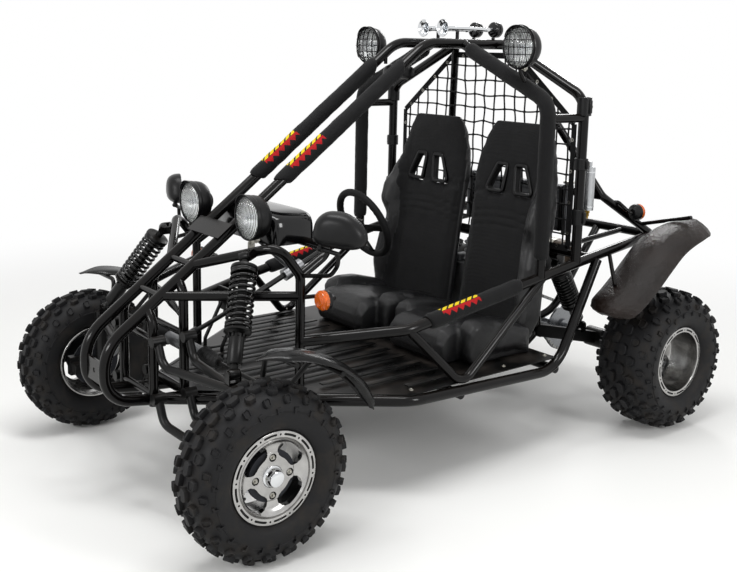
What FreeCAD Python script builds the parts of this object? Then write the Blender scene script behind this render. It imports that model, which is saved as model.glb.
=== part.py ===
import FreeCAD
import Part
import math
import os

V = FreeCAD.Vector

# A two-seat dune buggy with a round-tube cage. The front points to -Y, the vehicle's left is +X,
# +Z is up. Lengths are millimetres. Places are worked out from the middle of the wheelbase, and
# every piece is moved at the end so that the origin is under the middle of the whole vehicle.

# wheels on the ground
wheelbase = 1860.0
front_track = 1280.0
rear_track = 1320.0
front_tyre_od = 533.0
front_tyre_width = 178.0
front_rim_width = 140.0
rear_tyre_od = 559.0
rear_tyre_width = 254.0
rear_rim_width = 202.0
lug_height = 15.0
lug_pitches = 14
bead_d = 254.0
rim_flange_d = 278.0
rim_wall = 5.0
rim_lip = 6.0
rim_face_wall = 8.0
front_face_inset = 22.0
rear_face_inset = 128.0
hub_bore_d = 74.0
lug_circle_d = 115.0
lug_nut_d = 20.0
lug_nut_height = 14.0
lug_nuts = 4
rim_window_radius = 82.0
rim_window_width = 46.0
rim_windows = 4
rim_window_half_angle = 20.0
cap_d = 66.0
cap_height = 26.0

# gaps
weld_gap = 0.3
seat_gap = 0.3
running_gap = 1.0
column_gap = 6.0
overrun = 5.0

# tubes of the cage
main_tube_d = 38.0
side_tube_d = 32.0
light_tube_d = 22.0
big_bend = 150.0
hoop_bend = 90.0
tight_bend = 55.0
pad_wall = 9.0

# stations of the cage: half widths, places along the length, heights above the ground
spine_half = 75.0
roof_spine_half = 90.0
nose_y = -1165.0
nose_low_z = 350.0
nose_high_z = 522.0
nose_foot_y = -960.0
floor_front_z = 318.0
roof_bend_y = 136.0
roof_z = 1503.0
post_front_y = -1015.0
post_rear_y = -905.0
post_half = 112.0
upright_half = 352.0
upright_y = -608.0
upright_top_z = 745.0
brow_y = -690.0
brow_z = 850.0
brow_spine_y = -851.0
side_bar_y = -969.0
side_bar_upright_z = 677.0
dash_y = -483.0
dash_z = 820.0
rail_front_z = 524.0
rail_wide_half = 505.0
rail_wide_y = -270.0
rail_wide_z = 545.0
hoop_front_half = 545.0
hoop_front_y = 325.0
hoop_front_shoulder_z = 1300.0
hoop_rear_half = 553.0
hoop_rear_y = 512.0
hoop_rear_shoulder_z = 1312.0
hoop_rear_top_half = 150.0
rail_hoop_z = 690.0
rail_rear_y = 1060.0
rail_rear_z = 738.0
rail_rear_half = 495.0
floor_half = 565.0
floor_wide_y = -300.0
floor_rear_y = 420.0
floor_rear_z = 292.0
floor_foot_y = 640.0
vee_y = -71.0
vee_z = 330.0
vee_rear_y = 351.0
brace_y = 777.0
brace_z = 915.0
brace_half = 450.0
pad_low_y = -510.0
pad_high_y = 20.0
rail_pad_front_y = -190.0
rail_pad_rear_y = 228.0
link_z = 1240.0

# engine bay
cradle_half = 215.0
cradle_rear_y = 800.0
cradle_rear_z = 400.0
swing_half = 350.0
swing_pivot_y = 545.0
swing_pivot_z = 375.0
swing_bar_height = 50.0
swing_bar_width = 34.0
swing_cross_y = 700.0
axle_d = 40.0
bearing_d = 84.0
bearing_width = 46.0
sprocket_d = 190.0
sprocket_x = 150.0
sprocket_width = 9.0
rear_disc_d = 200.0
rear_disc_x = -170.0
disc_wall = 5.0
engine_length = 300.0
engine_half = 120.0
engine_height = 216.0
engine_y = 632.0
engine_z = 478.0
cvt_length = 400.0
cvt_d = 200.0
cvt_width = 85.0
cylinder_d = 104.0
cylinder_length = 108.0
cylinder_fins = 6
fin_wall = 5.0
muffler_d = 130.0
muffler_length = 360.0
muffler_y = 900.0
muffler_z = 610.0
pipe_d = 34.0
pipe_level = 70.0
radiator_half = 260.0
radiator_y = 770.0
radiator_z = 840.0
radiator_height = 190.0
radiator_wall = 42.0
radiator_tank_d = 44.0
radiator_fins = 9
tank_half = 80.0
tank_x = 215.0
tank_y = 678.0
tank_length = 190.0
tank_height = 130.0
tank_cap_d = 62.0
tank_cap_height = 24.0

# front suspension and steering
kingpin_half = 512.0
arm_tube_d = 28.0
upper_arm_z = 541.0
upper_joint_z = 462.0
lower_arm_z = 350.0
lower_joint_z = 205.0
arm_drop = 75.0
arm_drop_half = 155.0
arm_boss_d = 36.0
arm_boss_length = 44.0
knuckle_d = 46.0
joint_boss_d = 44.0
joint_boss_height = 36.0
joint_pin_d = 14.0
spindle_short = 14.0
hub_flange_wall = 10.0
caliper_wall = 14.0
caliper_reach = 14.0
caliper_bite = 34.0
caliper_height = 70.0
disc_gap = 1.5
spindle_d = 36.0
hub_d = 72.0
front_disc_d = 180.0
front_disc_half = 574.0
shock_top_half = 289.0
shock_top_y = -775.0
shock_top_z = 817.0
shock_low_half = 466.0
shock_low_y = -926.0
shock_low_z = 505.0
shock_body_d = 50.0
shock_rod_d = 20.0
spring_d = 86.0
spring_wire_d = 11.0
spring_turns = 8
shock_eye_d = 34.0
shock_eye_width = 32.0
shock_bolt_d = 12.0
clevis_wall = 5.0
clevis_width = 28.0
spring_share = 0.66
rear_rail_y = 612.0
rear_shock_setback = 30.0
rear_shock_drop = 38.0
rear_shock_low_y = 812.0
rear_shock_half = 350.0
rear_shock_rise = 76.0
rack_d = 46.0
rack_half = 120.0
boot_d = 62.0
boot_length = 110.0
boot_ridges = 6
tie_rod_d = 15.0
steer_arm_length = 90.0
tie_end_d = 34.0
steer_arm_width = 30.0
steer_arm_height = 14.0
column_d = 22.0
wheel_x = -245.0
wheel_y = 75.0
wheel_z = 745.0
steering_wheel_d = 320.0
grip_d = 30.0
column_low_y = -500.0
column_low_z = 492.0
dish_depth = 40.0
pod_hub_d = 70.0
spoke_d = 16.0
yoke_d = 40.0
yoke_length = 45.0
yoke_ball_d = 28.0

# seats and floor
floor_plate_wall = 3.0
seat_half = 236.0
seat_centre = 242.0
seat_back_y = 388.0
seat_back_z = 375.0
seat_back_height = 855.0
seat_back_wall = 52.0
seat_lean = 6.0
bolster_depth = 108.0
base_front_y = -40.0
base_top_z = 478.0
base_crease_z = 424.0
base_bolster_rise = 28.0
base_bolster_setback = 105.0
belt_hole_height = 95.0
belt_hole_width = 48.0
belt_hole_gap = 66.0
belt_hole_share = 0.66

# lamps, horns, mirrors, fenders, net
lamp_d = 150.0
lamp_depth = 78.0
headlight_half = 197.0
headlight_y = -674.0
headlight_z = 922.0
roof_lamp_half = 440.0
roof_lamp_y = 307.0
roof_lamp_z = 1492.0
bracket_d = 14.0
stalk_drop = 34.0
indicator_d = 66.0
indicator_depth = 52.0
indicator_front_reach = 68.0
indicator_front_y = -560.0
indicator_z = 672.0
indicator_rear_half = 526.0
indicator_rear_y = 905.0
indicator_rear_z = 850.0
horn_half = 56.0
horn_bell_y = 246.0
horn_length = 270.0
horn_bell_d = 68.0
horn_base_d = 62.0
horn_base_depth = 44.0
horn_z = 1562.0
mirror_half = 531.0
mirror_y = -602.0
mirror_z = 920.0
mirror_width = 120.0
mirror_height = 150.0
mirror_wall = 26.0
cabin_mirror_y = 60.0
cabin_mirror_z = 1392.0
cabin_mirror_width = 180.0
cabin_mirror_height = 55.0
front_fender_r = 410.0
front_fender_axis_y = 30.0
front_fender_axis_drop = 61.0
front_fender_wall = 4.0
front_fender_low_half = 562.0
front_fender_high_half = 728.0
front_fender_start = 26.0
front_fender_end = 96.0
front_fender_lip = 14.0
fender_stay_d = 16.0
fender_stay_z = 396.0
fender_stay_room = 8.0
fender_stay_reach = 50.0
rear_fender_low_half = 548.0
rear_fender_width = 234.0
rear_fender_crown = 46.0
rear_fender_wall = 4.0
rear_stay_y = 1020.0
rear_stay_x = 690.0
rear_bracket_y = 740.0
rear_bracket_sink = 2.0
canister_x = 478.0
canister_y = 657.0
canister_z = 958.0
canister_d = 44.0
canister_length = 170.0
canister_neck_d = 18.0
canister_neck = 20.0
canister_clamp_d = 14.0
net_pitch = 58.0
net_cord_d = 6.0
net_wall = 5.0
nose_plate_y = -760.0
nose_plate_width = 215.0
nose_plate_length = 70.0
nose_plate_wall = 4.0
tow_plate_wall = 8.0
tow_hole_d = 16.0
cowl_half = 200.0
cowl_front_y = -605.0
cowl_rear_y = -438.0
cowl_top_z = 930.0
cowl_brow_z = 895.0
cowl_rear_z = 887.0
cowl_skirt_z = 812.0
cowl_round = 24.0
gauge_d = 84.0
gauge_x = -120.0
gauge_inset = 14.0
gauge_wall = 6.0
pedal_y = -520.0
pedal_reach = 42.0
pedal_width = 70.0
pedal_height = 90.0
pedal_gap = 130.0
pedal_arm = 130.0
pedal_wall = 8.0
lamp_wall = 5.0

FULL = 360.0

front_axle_y = -wheelbase / 2
rear_axle_y = wheelbase / 2
front_axle_z = front_tyre_od / 2
rear_axle_z = rear_tyre_od / 2
origin_y = (rear_tyre_od - front_tyre_od) / 4
pad_r = lug_circle_d / 2 + lug_nut_d
rear_rail_share = (rear_rail_y - hoop_rear_y) / (rail_rear_y - hoop_rear_y)
rear_rail_z = rail_hoop_z + (rail_rear_z - rail_hoop_z) * rear_rail_share
rack_y = front_axle_y + steer_arm_length
rack_z = upper_joint_z - joint_boss_height / 2 + tie_end_d / 2

NODES = {}


def unit(vector):
    """The same direction at length one."""
    return vector * (1 / vector.Length)


def put(node, *shapes):
    """Adds solids to a node."""
    NODES.setdefault(node, []).extend(shapes)


def mirrored(shape):
    """The same shape on the vehicle's other side."""
    return shape.mirror(V(0, 0, 0), V(1, 0, 0))


def both(node, *shapes):
    """Adds solids and their copies on the other side to a node."""
    for shape in shapes:
        put(node, shape, mirrored(shape))


def largest(shape):
    """The biggest solid of a shape."""
    return max(shape.Solids, key=lambda solid: solid.Volume)


def rod(start, end, diameter):
    """Round bar from one point to another."""
    run = end - start
    return Part.makeCylinder(diameter / 2, run.Length, start, run)


def slab(low, high):
    """Upright box between two opposite corners."""
    size = high - low
    return Part.makeBox(size.x, size.y, size.z, low)


def bent_path(points, bend):
    """Straight runs joined by tangent arcs."""
    edges = []
    last = points[0]
    for index in range(1, len(points) - 1):
        corner = points[index]
        back = points[index - 1] - corner
        ahead = points[index + 1] - corner
        into = unit(back)
        out = unit(ahead)
        turn = math.pi - into.getAngle(out)
        reach = min(bend * math.tan(turn / 2), REACH_share * min(back.Length, ahead.Length))
        radius = reach / math.tan(turn / 2)
        centre = corner + unit(into + out) * (radius / math.cos(turn / 2))
        enter = corner + into * reach
        leave = corner + out * reach
        middle = centre + unit(corner - centre) * radius
        edges.append(Part.LineSegment(last, enter).toShape())
        edges.append(Part.Arc(enter, middle, leave).toShape())
        last = leave
    edges.append(Part.LineSegment(last, points[-1]).toShape())
    return Part.Wire(edges)


REACH_share = 0.48


def tube(points, diameter, bend):
    """Round bar bent along a path."""
    path = bent_path(points, bend)
    ring = Part.Wire(Part.makeCircle(diameter / 2, points[0], points[1] - points[0]))
    return path.makePipeShell([ring], True, False)


PLACED = []


def notched(shape):
    """Cuts a piece back by the weld gap round each tube laid before it."""
    for clear in PLACED:
        if shape.BoundBox.intersect(clear.BoundBox):
            shape = shape.cut(clear)
    return largest(shape)


def lay(node, points, diameter, bend=tight_bend, sides=2):
    """Lays a tube of the cage, notched round the tubes laid before it."""
    bar = notched(tube(points, diameter, bend))
    clear = tube(points, diameter + 2 * weld_gap, bend)
    put(node, bar)
    PLACED.append(clear)
    if sides == 2:
        put(node, mirrored(bar))
        PLACED.append(mirrored(clear))


def revolve(profile, centre, direction, side):
    """Solid of revolution from (along, radius) pairs about an axis through a centre."""
    along = unit(direction)
    out = unit(side)
    points = [centre + along * a + out * r for a, r in profile]
    face = Part.Face(Part.makePolygon(points + [points[0]]))
    return face.revolve(centre, along, FULL)


def spine_at(y):
    """Point on the sloping part of the left spine tube at a place along the length."""
    part = (y - nose_y) / (roof_bend_y - nose_y)
    x = spine_half + part * (roof_spine_half - spine_half)
    z = nose_high_z + part * (roof_z - nose_high_z)
    return V(x, y, z)


def rail_at(y):
    """Point on the left side rail at a place along the length, behind its widest corner."""
    part = (y - rail_wide_y) / (hoop_rear_y - rail_wide_y)
    x = rail_wide_half + part * (hoop_rear_half - rail_wide_half)
    z = rail_wide_z + part * (rail_hoop_z - rail_wide_z)
    return V(x, y, z)


def rail_rear_at(y):
    """Point on the left side rail behind the rear hoop at a place along the length."""
    part = (y - hoop_rear_y) / (rail_rear_y - hoop_rear_y)
    x = hoop_rear_half + part * (rail_rear_half - hoop_rear_half)
    return V(x, y, rail_hoop_z + part * (rail_rear_z - rail_hoop_z))


def brace_at(y):
    """Point on the left rear brace, behind its bend, at a place along the length."""
    part = (y - brace_y) / (rail_rear_y - brace_y)
    x = brace_half + part * (rail_rear_half - brace_half)
    return V(x, y, brace_z + part * (rail_rear_z - brace_z))


def cross(node, left, diameter):
    """Straight bar from a point on the left to the same point on the right."""
    lay(node, [left, V(-left.x, left.y, left.z)], diameter, sides=1)


def build_cage():
    """The welded tubes, main ones first, each notched round those before it."""
    roof_end = V(roof_spine_half, hoop_rear_y, roof_z)
    lay("side_rails", [
        V(upright_half, upright_y, rail_front_z),
        V(rail_wide_half, rail_wide_y, rail_wide_z),
        V(hoop_rear_half, hoop_rear_y, rail_hoop_z),
        V(rail_rear_half, rail_rear_y, rail_rear_z),
    ], main_tube_d, big_bend)

    lay("hoop_rear", [
        V(hoop_rear_half, hoop_rear_y, rail_hoop_z),
        V(hoop_rear_half, hoop_rear_y, hoop_rear_shoulder_z),
        V(hoop_rear_top_half, hoop_rear_y, roof_z),
        V(-hoop_rear_top_half, hoop_rear_y, roof_z),
        V(-hoop_rear_half, hoop_rear_y, hoop_rear_shoulder_z),
        V(-hoop_rear_half, hoop_rear_y, rail_hoop_z),
    ], main_tube_d, hoop_bend, sides=1)

    lay("frame_spine", [
        V(spine_half, nose_foot_y, floor_front_z),
        V(spine_half, nose_y, nose_low_z),
        V(spine_half, nose_y, nose_high_z),
        V(roof_spine_half, roof_bend_y, roof_z),
        roof_end,
    ], main_tube_d, big_bend)

    foot = rail_at(hoop_front_y)
    lay("hoop_front", [
        V(hoop_front_half, hoop_front_y, foot.z),
        V(hoop_front_half, hoop_front_y, hoop_front_shoulder_z),
        V(roof_spine_half, hoop_front_y, roof_z),
    ], main_tube_d, hoop_bend)
    cross("hoop_front", V(roof_spine_half, hoop_front_y, roof_z), side_tube_d)
    lay("hoop_rear", [
        V(hoop_front_half, hoop_front_y, link_z),
        V(hoop_rear_half, hoop_rear_y, link_z),
    ], side_tube_d)

    vee_top = rail_at(vee_rear_y)
    lay("side_rails", [
        V(rail_wide_half, rail_wide_y, rail_wide_z),
        V(floor_half, vee_y, vee_z),
        vee_top,
    ], side_tube_d)

    lay("frame_lower", [
        V(spine_half, nose_foot_y, floor_front_z),
        V(floor_half, floor_wide_y, floor_front_z),
        V(floor_half, floor_rear_y, floor_rear_z),
        V(hoop_rear_half, floor_foot_y, rail_hoop_z),
    ], main_tube_d, big_bend)
    lay("frame_lower", [
        V(spine_half, nose_foot_y, floor_front_z),
        V(spine_half, upright_y, floor_rear_z),
        V(spine_half, floor_rear_y, floor_rear_z),
    ], main_tube_d)
    cross("frame_lower", V(spine_half, nose_foot_y, floor_front_z), side_tube_d)
    cross("frame_lower", V(upright_half, upright_y, floor_front_z), side_tube_d)
    cross("frame_lower", V(floor_half, vee_y, floor_rear_z), side_tube_d)
    cross("frame_lower", V(floor_half, floor_rear_y, floor_rear_z), side_tube_d)

    brow_spine = spine_at(brow_spine_y)
    lay("frame_uprights", [
        V(upright_half, upright_y, floor_front_z),
        V(upright_half, upright_y, upright_top_z),
        V(upright_half, brow_y, brow_z),
        brow_spine,
    ], side_tube_d)
    lay("frame_front", [
        spine_at(side_bar_y),
        V(upright_half, upright_y, side_bar_upright_z),
    ], side_tube_d)
    lay("frame_dash", [
        V(upright_half, upright_y, upright_top_z),
        V(upright_half, dash_y, dash_z),
        V(-upright_half, dash_y, dash_z),
        V(-upright_half, upright_y, upright_top_z),
    ], side_tube_d, sides=1)
    for y in (post_front_y, post_rear_y):
        top = spine_at(y)
        lay("frame_front", [
            V(post_half, y, floor_front_z),
            V(post_half, y, top.z - main_tube_d),
            V(top.x, y, top.z),
        ], side_tube_d)
        cross("frame_front", V(post_half, y, upper_arm_z), light_tube_d)
        cross("frame_front", V(post_half, y, lower_arm_z), light_tube_d)
    for y in (side_bar_y, brow_spine_y):
        cross("frame_spine", spine_at(y), light_tube_d)

    rear_corner = V(rail_rear_half, rail_rear_y, rail_rear_z)
    cross("frame_rear", rear_corner, main_tube_d)
    lay("frame_rear", [
        V(hoop_rear_top_half, hoop_rear_y, roof_z),
        V(brace_half, brace_y, brace_z),
        rear_corner,
    ], side_tube_d)
    cross("frame_rear", V(brace_half, brace_y, brace_z), side_tube_d)
    cross("frame_rear", V(hoop_rear_half, rear_rail_y, rear_rail_z), side_tube_d)
    lay("frame_rear", [
        V(cradle_half, floor_rear_y, floor_rear_z),
        V(cradle_half, cradle_rear_y, cradle_rear_z),
        V(cradle_half, rail_rear_y, rail_rear_z),
    ], side_tube_d, big_bend)
    lay("frame_rear", [
        V(swing_half, floor_rear_y, floor_rear_z),
        V(swing_half, swing_pivot_y, swing_pivot_z),
        V(swing_half, hoop_rear_y, rail_hoop_z),
    ], side_tube_d)
    lay("frame_rear", [
        V(swing_half, hoop_rear_y, rail_hoop_z),
        V(swing_half, rail_rear_y, rail_rear_z),
    ], light_tube_d)


def build_pads():
    """Foam sleeves round the spine, the front hoop and the side rails."""
    spine_pad = tube([spine_at(pad_low_y), spine_at(pad_high_y)], main_tube_d + 2 * pad_wall, 0)
    rail_pad = tube([rail_at(rail_pad_front_y), rail_at(rail_pad_rear_y)],
                    main_tube_d + 2 * pad_wall, 0)
    both("frame_pads", notched(spine_pad), notched(rail_pad))
    clear_d = main_tube_d + 2 * pad_wall + 2 * weld_gap
    foot = rail_at(hoop_front_y)
    hoop_route = [
        V(hoop_front_half, hoop_front_y, foot.z + main_tube_d),
        V(hoop_front_half, hoop_front_y, hoop_front_shoulder_z),
        V(roof_spine_half + main_tube_d, hoop_front_y, roof_z - HOOP_PAD_DROP_share * main_tube_d),
    ]
    hoop_pad = tube(hoop_route, main_tube_d + 2 * pad_wall, hoop_bend)
    both("frame_pads", notched(hoop_pad))
    for clear in (
        tube([spine_at(pad_low_y), spine_at(pad_high_y)], clear_d, 0),
        tube([rail_at(rail_pad_front_y), rail_at(rail_pad_rear_y)], clear_d, 0),
        tube(hoop_route, clear_d, hoop_bend),
    ):
        PLACED.extend([clear, mirrored(clear)])


HOOP_PAD_DROP_share = 0.53


def build_floor():
    """Ribbed floor plate on the floor tubes."""
    z = floor_front_z + main_tube_d / 2 + seat_gap
    outline = [
        V(spine_half, nose_foot_y + main_tube_d, z),
        V(floor_half, floor_wide_y, z),
        V(floor_half, floor_rear_y, z),
        V(-floor_half, floor_rear_y, z),
        V(-floor_half, floor_wide_y, z),
        V(-spine_half, nose_foot_y + main_tube_d, z),
    ]
    plate = Part.Face(Part.makePolygon(outline + [outline[0]])).extrude(V(0, 0, floor_plate_wall))
    put("floor_pan", notched(plate))


def seat_outline_points():
    """Front outline of a seat back, as (across, up) from the middle of its foot."""
    return [(a * seat_half, b * seat_back_height) for a, b in BACK_shares]


BACK_shares = (
    (-0.97, 0.00), (-0.96, 0.25), (-0.92, 0.45), (-0.85, 0.62), (-0.75, 0.76),
    (-0.62, 0.88), (-0.50, 0.97), (-0.36, 1.00), (0.36, 1.00), (0.50, 0.97),
    (0.60, 0.86), (0.72, 0.72), (0.95, 0.62), (1.00, 0.42), (0.97, 0.22), (0.90, 0.00),
)
BOLSTER_shares = ((0.97, 0.17), (1.00, 0.42), (0.95, 0.62), (0.72, 0.70), (0.66, 0.42), (0.63, 0.17))
BELT_HOLE_shares = ((-0.5, 0.0), (0.5, 0.0), (0.34, 1.0), (-0.34, 1.0))


def flat(points, y, depth):
    """Plate from (across, up) pairs in the plane of a place along the length."""
    corners = [V(a, y, b) for a, b in points]
    return Part.Face(Part.makePolygon(corners + [corners[0]])).extrude(V(0, depth, 0))


def build_seats():
    """Two bucket backs, each with harness slots and an outboard bolster, and their cushions."""
    back = flat(seat_outline_points(), 0, seat_back_wall)
    wing = [(a * seat_half, b * seat_back_height) for a, b in BOLSTER_shares]
    bolster = flat(wing, -bolster_depth, bolster_depth + seat_back_wall / 2)
    tip = bolster.makeChamfer(bolster_depth * BOLSTER_CUT_share, front_edges(bolster))
    back = back.fuse(tip)
    for side in (1, -1):
        mid = side * (belt_hole_gap / 2 + belt_hole_width / 2)
        low = seat_back_height * belt_hole_share
        hole = [(mid + a * belt_hole_width, low + b * belt_hole_height) for a, b in BELT_HOLE_shares]
        back = back.cut(flat(hole, -bolster_depth, bolster_depth + seat_back_wall + overrun))
    back = back.removeSplitter()
    back.rotate(V(0, 0, 0), V(1, 0, 0), -seat_lean)
    back.translate(V(seat_centre, seat_back_y, seat_back_z))
    both("seat_backs", notched(back))

    wings = base_profile(base_front_y + base_bolster_setback, base_bolster_rise, 2 * seat_half)
    well = base_profile(base_front_y, base_bolster_rise + overrun, 2 * seat_half * BASE_PANEL_share)
    well.translate(V(seat_half * (1 - BASE_PANEL_share), 0, 0))
    inset = base_profile(base_front_y, 0, 2 * seat_half * BASE_PANEL_share)
    inset.translate(V(seat_half * (1 - BASE_PANEL_share), 0, 0))
    cushion = wings.cut(well).fuse(inset)
    cushion.translate(V(seat_centre - seat_half, 0, 0))
    both("seat_bases", notched(cushion))


def base_profile(front_y, rise, width):
    """Base cushion with a rolled front edge, drawn from its side."""
    foot = floor_top()
    top = base_top_z + rise
    nose = BASE_NOSE_share * (top - foot)
    back = seat_back_y - seat_gap
    side = [
        V(0, front_y + nose, foot), V(0, front_y, (top + foot) / 2), V(0, front_y + nose, top),
        V(0, back, base_crease_z + rise), V(0, back, foot),
    ]
    edges = [Part.Arc(side[0], side[1], side[2]).toShape()]
    for start, end in ((2, 3), (3, 4), (4, 0)):
        edges.append(Part.LineSegment(side[start], side[end]).toShape())
    return Part.Face(Part.Wire(edges)).extrude(V(width, 0, 0))


BASE_NOSE_share = 0.35
BASE_PANEL_share = 0.68
BOLSTER_CUT_share = 0.4


def front_edges(bolster):
    """The upright inner edges at a bolster's front, where it tapers."""
    chosen = []
    for edge in bolster.Edges:
        low = edge.BoundBox
        inner = edge.CenterOfMass.x < INNER_share * seat_half
        if low.YMax < -bolster_depth + overrun and inner and low.ZLength > low.XLength:
            chosen.append(edge)
    return chosen


INNER_share = 0.71


def faceted(profile, centre, sides):
    """Ring of flat facets about a line across the vehicle, from a loop of (across, radius) pairs."""
    rings = []
    for a, r in profile:
        spots = []
        for index in range(sides):
            turn = 2 * math.pi * index / sides
            spots.append(centre + V(a, r * math.cos(turn), r * math.sin(turn)))
        rings.append(spots)
    faces = []
    for ring, following in zip(rings, rings[1:] + rings[:1]):
        for index in range(sides):
            after = (index + 1) % sides
            loop = [ring[index], ring[after], following[after], following[index], ring[index]]
            faces.append(Part.Face(Part.makePolygon(loop)))
    skin = Part.makeCompound(faces)
    skin.sewShape()
    solid = Part.makeSolid(skin.Shells[0])
    if solid.Volume < 0:
        solid.reverse()
    return solid


def lug_ring(centre, low, high, root_r, top_r, first):
    """Ring of square lugs between two places across a tyre; every other facet carries one."""
    sides = 2 * lug_pitches
    outer = []
    for index in range(sides):
        radius = top_r if index % 2 == first else root_r
        for step in (index, index + 1):
            turn = 2 * math.pi * step / sides
            outer.append(centre + V(low, radius * math.cos(turn), radius * math.sin(turn)))
    inner = []
    for index in range(lug_pitches):
        turn = -2 * math.pi * index / lug_pitches
        radius = root_r * LUG_CORE_share
        inner.append(centre + V(low, radius * math.cos(turn), radius * math.sin(turn)))
    rim_wire = Part.makePolygon(outer + outer[:1])
    core_wire = Part.makePolygon(inner + inner[:1])
    face = Part.Face([rim_wire, core_wire])
    return face.extrude(V(high - low, 0, 0))


def tyre(half_track, axle_y, od, width, rim_width):
    """Knobbly tyre filling the space over its rim, with rings of staggered lugs."""
    centre = V(half_track, axle_y, od / 2)
    sides = 2 * lug_pitches
    flat_share = 1 / math.cos(math.pi / sides)
    top_r = od / 2
    tread_r = top_r - lug_height
    bead_r = (bead_d / 2 + seat_gap) * flat_share
    grip = rim_width / 2 - rim_lip - seat_gap
    wall_r = (rim_flange_d / 2 + seat_gap) * flat_share
    half = width / 2
    side_low = wall_r + SIDE_LOW_share * (tread_r - wall_r)
    side_high = wall_r + SIDE_HIGH_share * (tread_r - wall_r)
    profile = [
        (-grip, bead_r), (-grip, wall_r), (-half, side_low), (-half, side_high),
        (-half * CROWN_share, tread_r), (half * CROWN_share, tread_r), (half, side_high),
        (half, side_low), (grip, wall_r), (grip, bead_r),
    ]
    whole = faceted(profile, centre, sides)
    root_r = tread_r * LUG_ROOT_share
    for low_share, high_share, drop_share, first in LUG_shares:
        ring_r = top_r - drop_share * lug_height
        whole = whole.fuse(lug_ring(centre, low_share * half, high_share * half, root_r, ring_r, first))
    return whole.removeSplitter()


SIDE_LOW_share = 0.30
SIDE_HIGH_share = 0.72
CROWN_share = 0.78
LUG_ROOT_share = 0.97
LUG_CORE_share = 0.9
LUG_shares = (
    (-0.92, -0.56, 0.3, 0), (-0.40, 0.40, 0.0, 1), (0.56, 0.92, 0.3, 0),
)


def kidney(centre, angle, depth):
    """Bean-shaped cutter along an arc about the wheel's axis, on the wheel's face."""
    inner = rim_window_radius - rim_window_width / 2
    outer = rim_window_radius + rim_window_width / 2
    low = math.radians(angle - rim_window_half_angle)
    high = math.radians(angle + rim_window_half_angle)
    mid = math.radians(angle)

    def spot(radius, turn):
        """Point on the wheel's face at a radius and a turn about its axis."""
        return centre + V(0, radius * math.cos(turn), radius * math.sin(turn))

    def cap(turn, way):
        """Middle of a rounded end."""
        tangent = V(0, -math.sin(turn), math.cos(turn)) * (way * rim_window_width / 2)
        return spot(rim_window_radius, turn) + tangent

    edges = [
        Part.Arc(spot(outer, low), spot(outer, mid), spot(outer, high)).toShape(),
        Part.Arc(spot(outer, high), cap(high, 1), spot(inner, high)).toShape(),
        Part.Arc(spot(inner, high), spot(inner, mid), spot(inner, low)).toShape(),
        Part.Arc(spot(inner, low), cap(low, -1), spot(outer, low)).toShape(),
    ]
    return Part.Face(Part.Wire(edges)).extrude(V(depth, 0, 0))


def rim(half_track, axle_y, axle_z, width, inset):
    """Cast rim: barrel with two lips, a windowed face, four nuts and a centre cap."""
    centre = V(half_track, axle_y, axle_z)
    bead = bead_d / 2
    lip = rim_flange_d / 2
    half = width / 2
    face = half - inset
    hub = hub_bore_d / 2
    profile = [
        (-half, bead - rim_wall), (-half, lip), (rim_lip - half, lip), (rim_lip - half, bead),
        (half - rim_lip, bead), (half - rim_lip, lip), (half, lip), (half, bead - rim_wall),
        (face, bead - rim_wall), (face + rim_face_wall, pad_r), (face + rim_face_wall, hub),
        (face, hub), (face, pad_r), (face - rim_face_wall, bead - rim_wall),
    ]
    body = revolve(profile, centre, V(1, 0, 0), V(0, 0, 1))
    depth = 4 * rim_face_wall
    for index in range(rim_windows):
        angle = (index + 0.5) * FULL / rim_windows
        start = V(half_track + face - 2 * rim_face_wall, axle_y, axle_z)
        body = body.cut(kidney(start, angle, depth))
    cap_x = half_track + face + rim_face_wall
    cap_start = V(cap_x - rim_face_wall, axle_y, axle_z)
    cap = Part.makeCylinder(hub, rim_face_wall, cap_start, V(1, 0, 0))
    nose = Part.makeCone(cap_d / 2, cap_d / 2 * CAP_TOP_share, cap_height,
                         V(cap_x, axle_y, axle_z), V(1, 0, 0))
    cap = cap.fuse(nose)
    nuts = []
    for index in range(lug_nuts):
        turn = math.radians(index * FULL / lug_nuts)
        spot = V(cap_x, axle_y + lug_circle_d / 2 * math.cos(turn),
                 axle_z + lug_circle_d / 2 * math.sin(turn))
        nuts.append(Part.makeCylinder(lug_nut_d / 2, lug_nut_height, spot, V(1, 0, 0)))
    return body, cap, nuts


CAP_TOP_share = 0.55


def build_wheels():
    """Front wheels, one per side, and the rear pair on its live axle."""
    front_half = front_track / 2
    rear_half = rear_track / 2
    front_tyre = tyre(front_half, front_axle_y, front_tyre_od, front_tyre_width, front_rim_width)
    put("tyre_front_left", front_tyre)
    put("tyre_front_right", mirrored(front_tyre))
    body, cap, nuts = rim(front_half, front_axle_y, front_axle_z, front_rim_width, front_face_inset)
    front_rim = body.multiFuse(nuts + [cap])
    put("rim_front_left", front_rim)
    put("rim_front_right", mirrored(front_rim))
    rear_tyre = tyre(rear_half, rear_axle_y, rear_tyre_od, rear_tyre_width, rear_rim_width)
    both("tyres_rear", rear_tyre)
    body, cap, nuts = rim(rear_half, rear_axle_y, rear_axle_z, rear_rim_width, rear_face_inset)
    both("rims_rear", body.multiFuse(nuts + [cap]))

    pad = front_half + front_rim_width / 2 - front_face_inset
    hub = turned([
        (front_disc_half, spindle_d / 2 + running_gap), (front_disc_half, front_disc_d / 2),
        (front_disc_half + disc_wall, front_disc_d / 2), (front_disc_half + disc_wall, hub_d / 2),
        (pad - hub_flange_wall - seat_gap, hub_d / 2), (pad - hub_flange_wall - seat_gap, pad_r),
        (pad - seat_gap, pad_r), (pad - seat_gap, spindle_d / 2 + running_gap),
    ], front_axle_y, front_axle_z)
    put("hub_front_left", hub)
    put("hub_front_right", mirrored(hub))


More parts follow.
